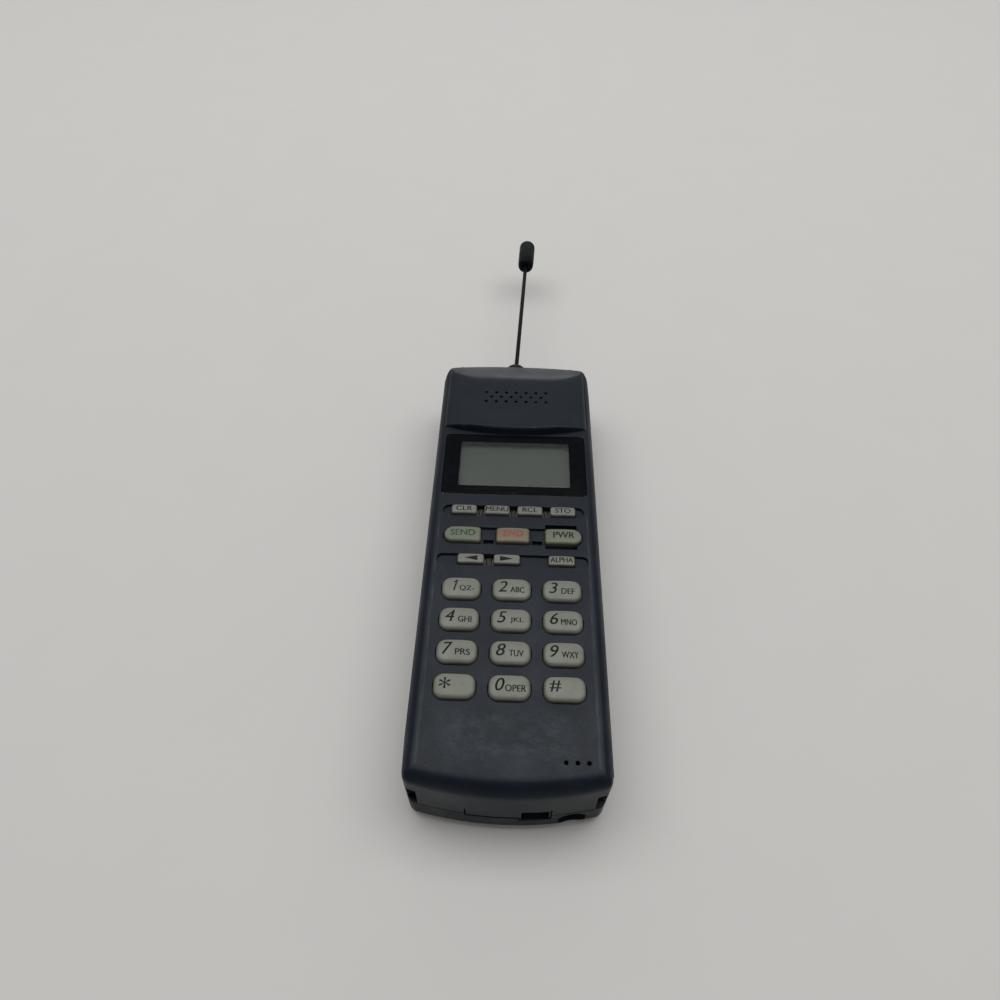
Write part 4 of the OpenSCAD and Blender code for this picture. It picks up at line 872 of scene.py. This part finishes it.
# Solids that keep their own shape take their finish
for material, names in (
    (FILM, ["lcd_glass"]), (IVORY, ["lcd_frame", "antenna_tube"]), (BOARD, ["keypad_board", "main_board"]),
    (NYLON, ["board_link", "earpiece", "ringer", "terminal_block", "charging_jack"]), (TIN, ["shield_cans"]),
    (RUBBER, ["earpiece_gasket", "microphone_boot"]), (NICKEL, ["jack_pin"]), (FELT, ["microphone"]),
    (GILT, ["antenna_contact", "antenna_stop", "terminal_springs", "battery_pads"]), (WHIP, ["antenna_rod"]),
    (SLEEVE, ["battery_cells"]),
):
    for name in names:
        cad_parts[name].data.materials.clear()
        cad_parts[name].data.materials.append(material)

# Floor: a square sheet of paper just under the phone
FLOOR_HALF, FLOOR_Z = 2000.0, -0.2
sheet = [(sx * FLOOR_HALF, sy * FLOOR_HALF, FLOOR_Z) for sx, sy in ((-1, -1), (1, -1), (1, 1), (-1, 1))]
floor = make("paper_floor", sheet, [[0, 1, 2, 3]])
floor.data.materials.append(paper())

# Room: soft even light. The camera and glass see a plain backdrop, gloss sees it dim upwards, aside and
# behind, and other rays get FILL_LEVEL of it
FILL_LEVEL = 0.6
world = bpy.data.worlds.new("studio")
bpy.context.scene.world = world
world.use_nodes = True
sky = world.node_tree
sky.nodes.clear()
path = add(sky, "LightPath").outputs
way = add(sky, "SeparateXYZ", {0: add(sky, "TexCoord").outputs["Generated"]}).outputs
upward = remap(sky, way["Z"], 0.3, 0.65, 1.0, 0.1, smooth=True)
aside = remap(sky, maths(sky, "ABSOLUTE", way["X"]), 0.4, 0.85, 1.0, 0.06, smooth=True)
behind = remap(sky, way["Y"], 0.2, -0.4, 1.0, 0.03, smooth=True)
dim = maths(sky, "MULTIPLY", maths(sky, "MULTIPLY", upward, aside), behind)
gloss = add(sky, "Mix", {0: path["Is Glossy Ray"], 2: FILL_LEVEL, 3: dim}, data_type="FLOAT").outputs[0]
plain = maths(sky, "MAXIMUM", path["Is Camera Ray"], path["Is Transmission Ray"])
level = add(sky, "Mix", {0: plain, 2: gloss, 3: 1.0}, data_type="FLOAT").outputs[0]
backdrop = add(sky, "Background", {"Color": linear("#c5c4c2"), "Strength": level})
add(sky, "OutputWorld", {"Surface": backdrop.outputs[0]})


def lamp(name, place, aim, size, power):
    """A soft white rectangular lamp at place in metres that faces aim, with its power in watts."""
    light = bpy.data.lights.new(name, "AREA")
    light.shape = "RECTANGLE"
    light.size, light.size_y = size
    light.energy = power
    holder = bpy.data.objects.new(name, light)
    bpy.context.scene.collection.objects.link(holder)
    back = np.array(place) - np.array(aim)
    back = back / np.linalg.norm(back)
    right = np.cross([0, 1, 0] if abs(back[2]) > 0.9 else [0, 0, 1], back)
    right = right / np.linalg.norm(right)
    up = np.cross(back, right)
    holder.matrix_world = Matrix([[right[i], up[i], back[i], place[i]] for i in range(3)] + [[0, 0, 0, 1]])


lamp("overhead", (0.0, 0.42, 1.5), (0, 0.42, 0), (3.0, 1.1), 25.0)
lamp("window", (0.0, 4.0, 1.0), (0, 0, 0), (3.0, 1.2), 16.0)

# Camera: pinhole of 720 pixels to the 1000-pixel frame, over the foot of the phone, at SPOT in metres
RIGHT = (0.99952, 0.02979, 0.00819)
DOWN = (0.02843, -0.78286, -0.62154)
AHEAD = (-0.0121, 0.62148, -0.78334)
SPOT = (-0.00172, -0.13939, 0.22031)
lens = bpy.data.cameras.new("photo_camera")
lens.sensor_width = 36.0
lens.lens = 25.92
lens.clip_start = 0.005
camera = bpy.data.objects.new("photo_camera", lens)
bpy.context.scene.collection.objects.link(camera)
camera.matrix_world = Matrix([[RIGHT[i], -DOWN[i], -AHEAD[i], SPOT[i]] for i in range(3)] + [[0, 0, 0, 1]])
bpy.context.scene.camera = camera
bpy.context.scene.view_settings.view_transform = "Standard"
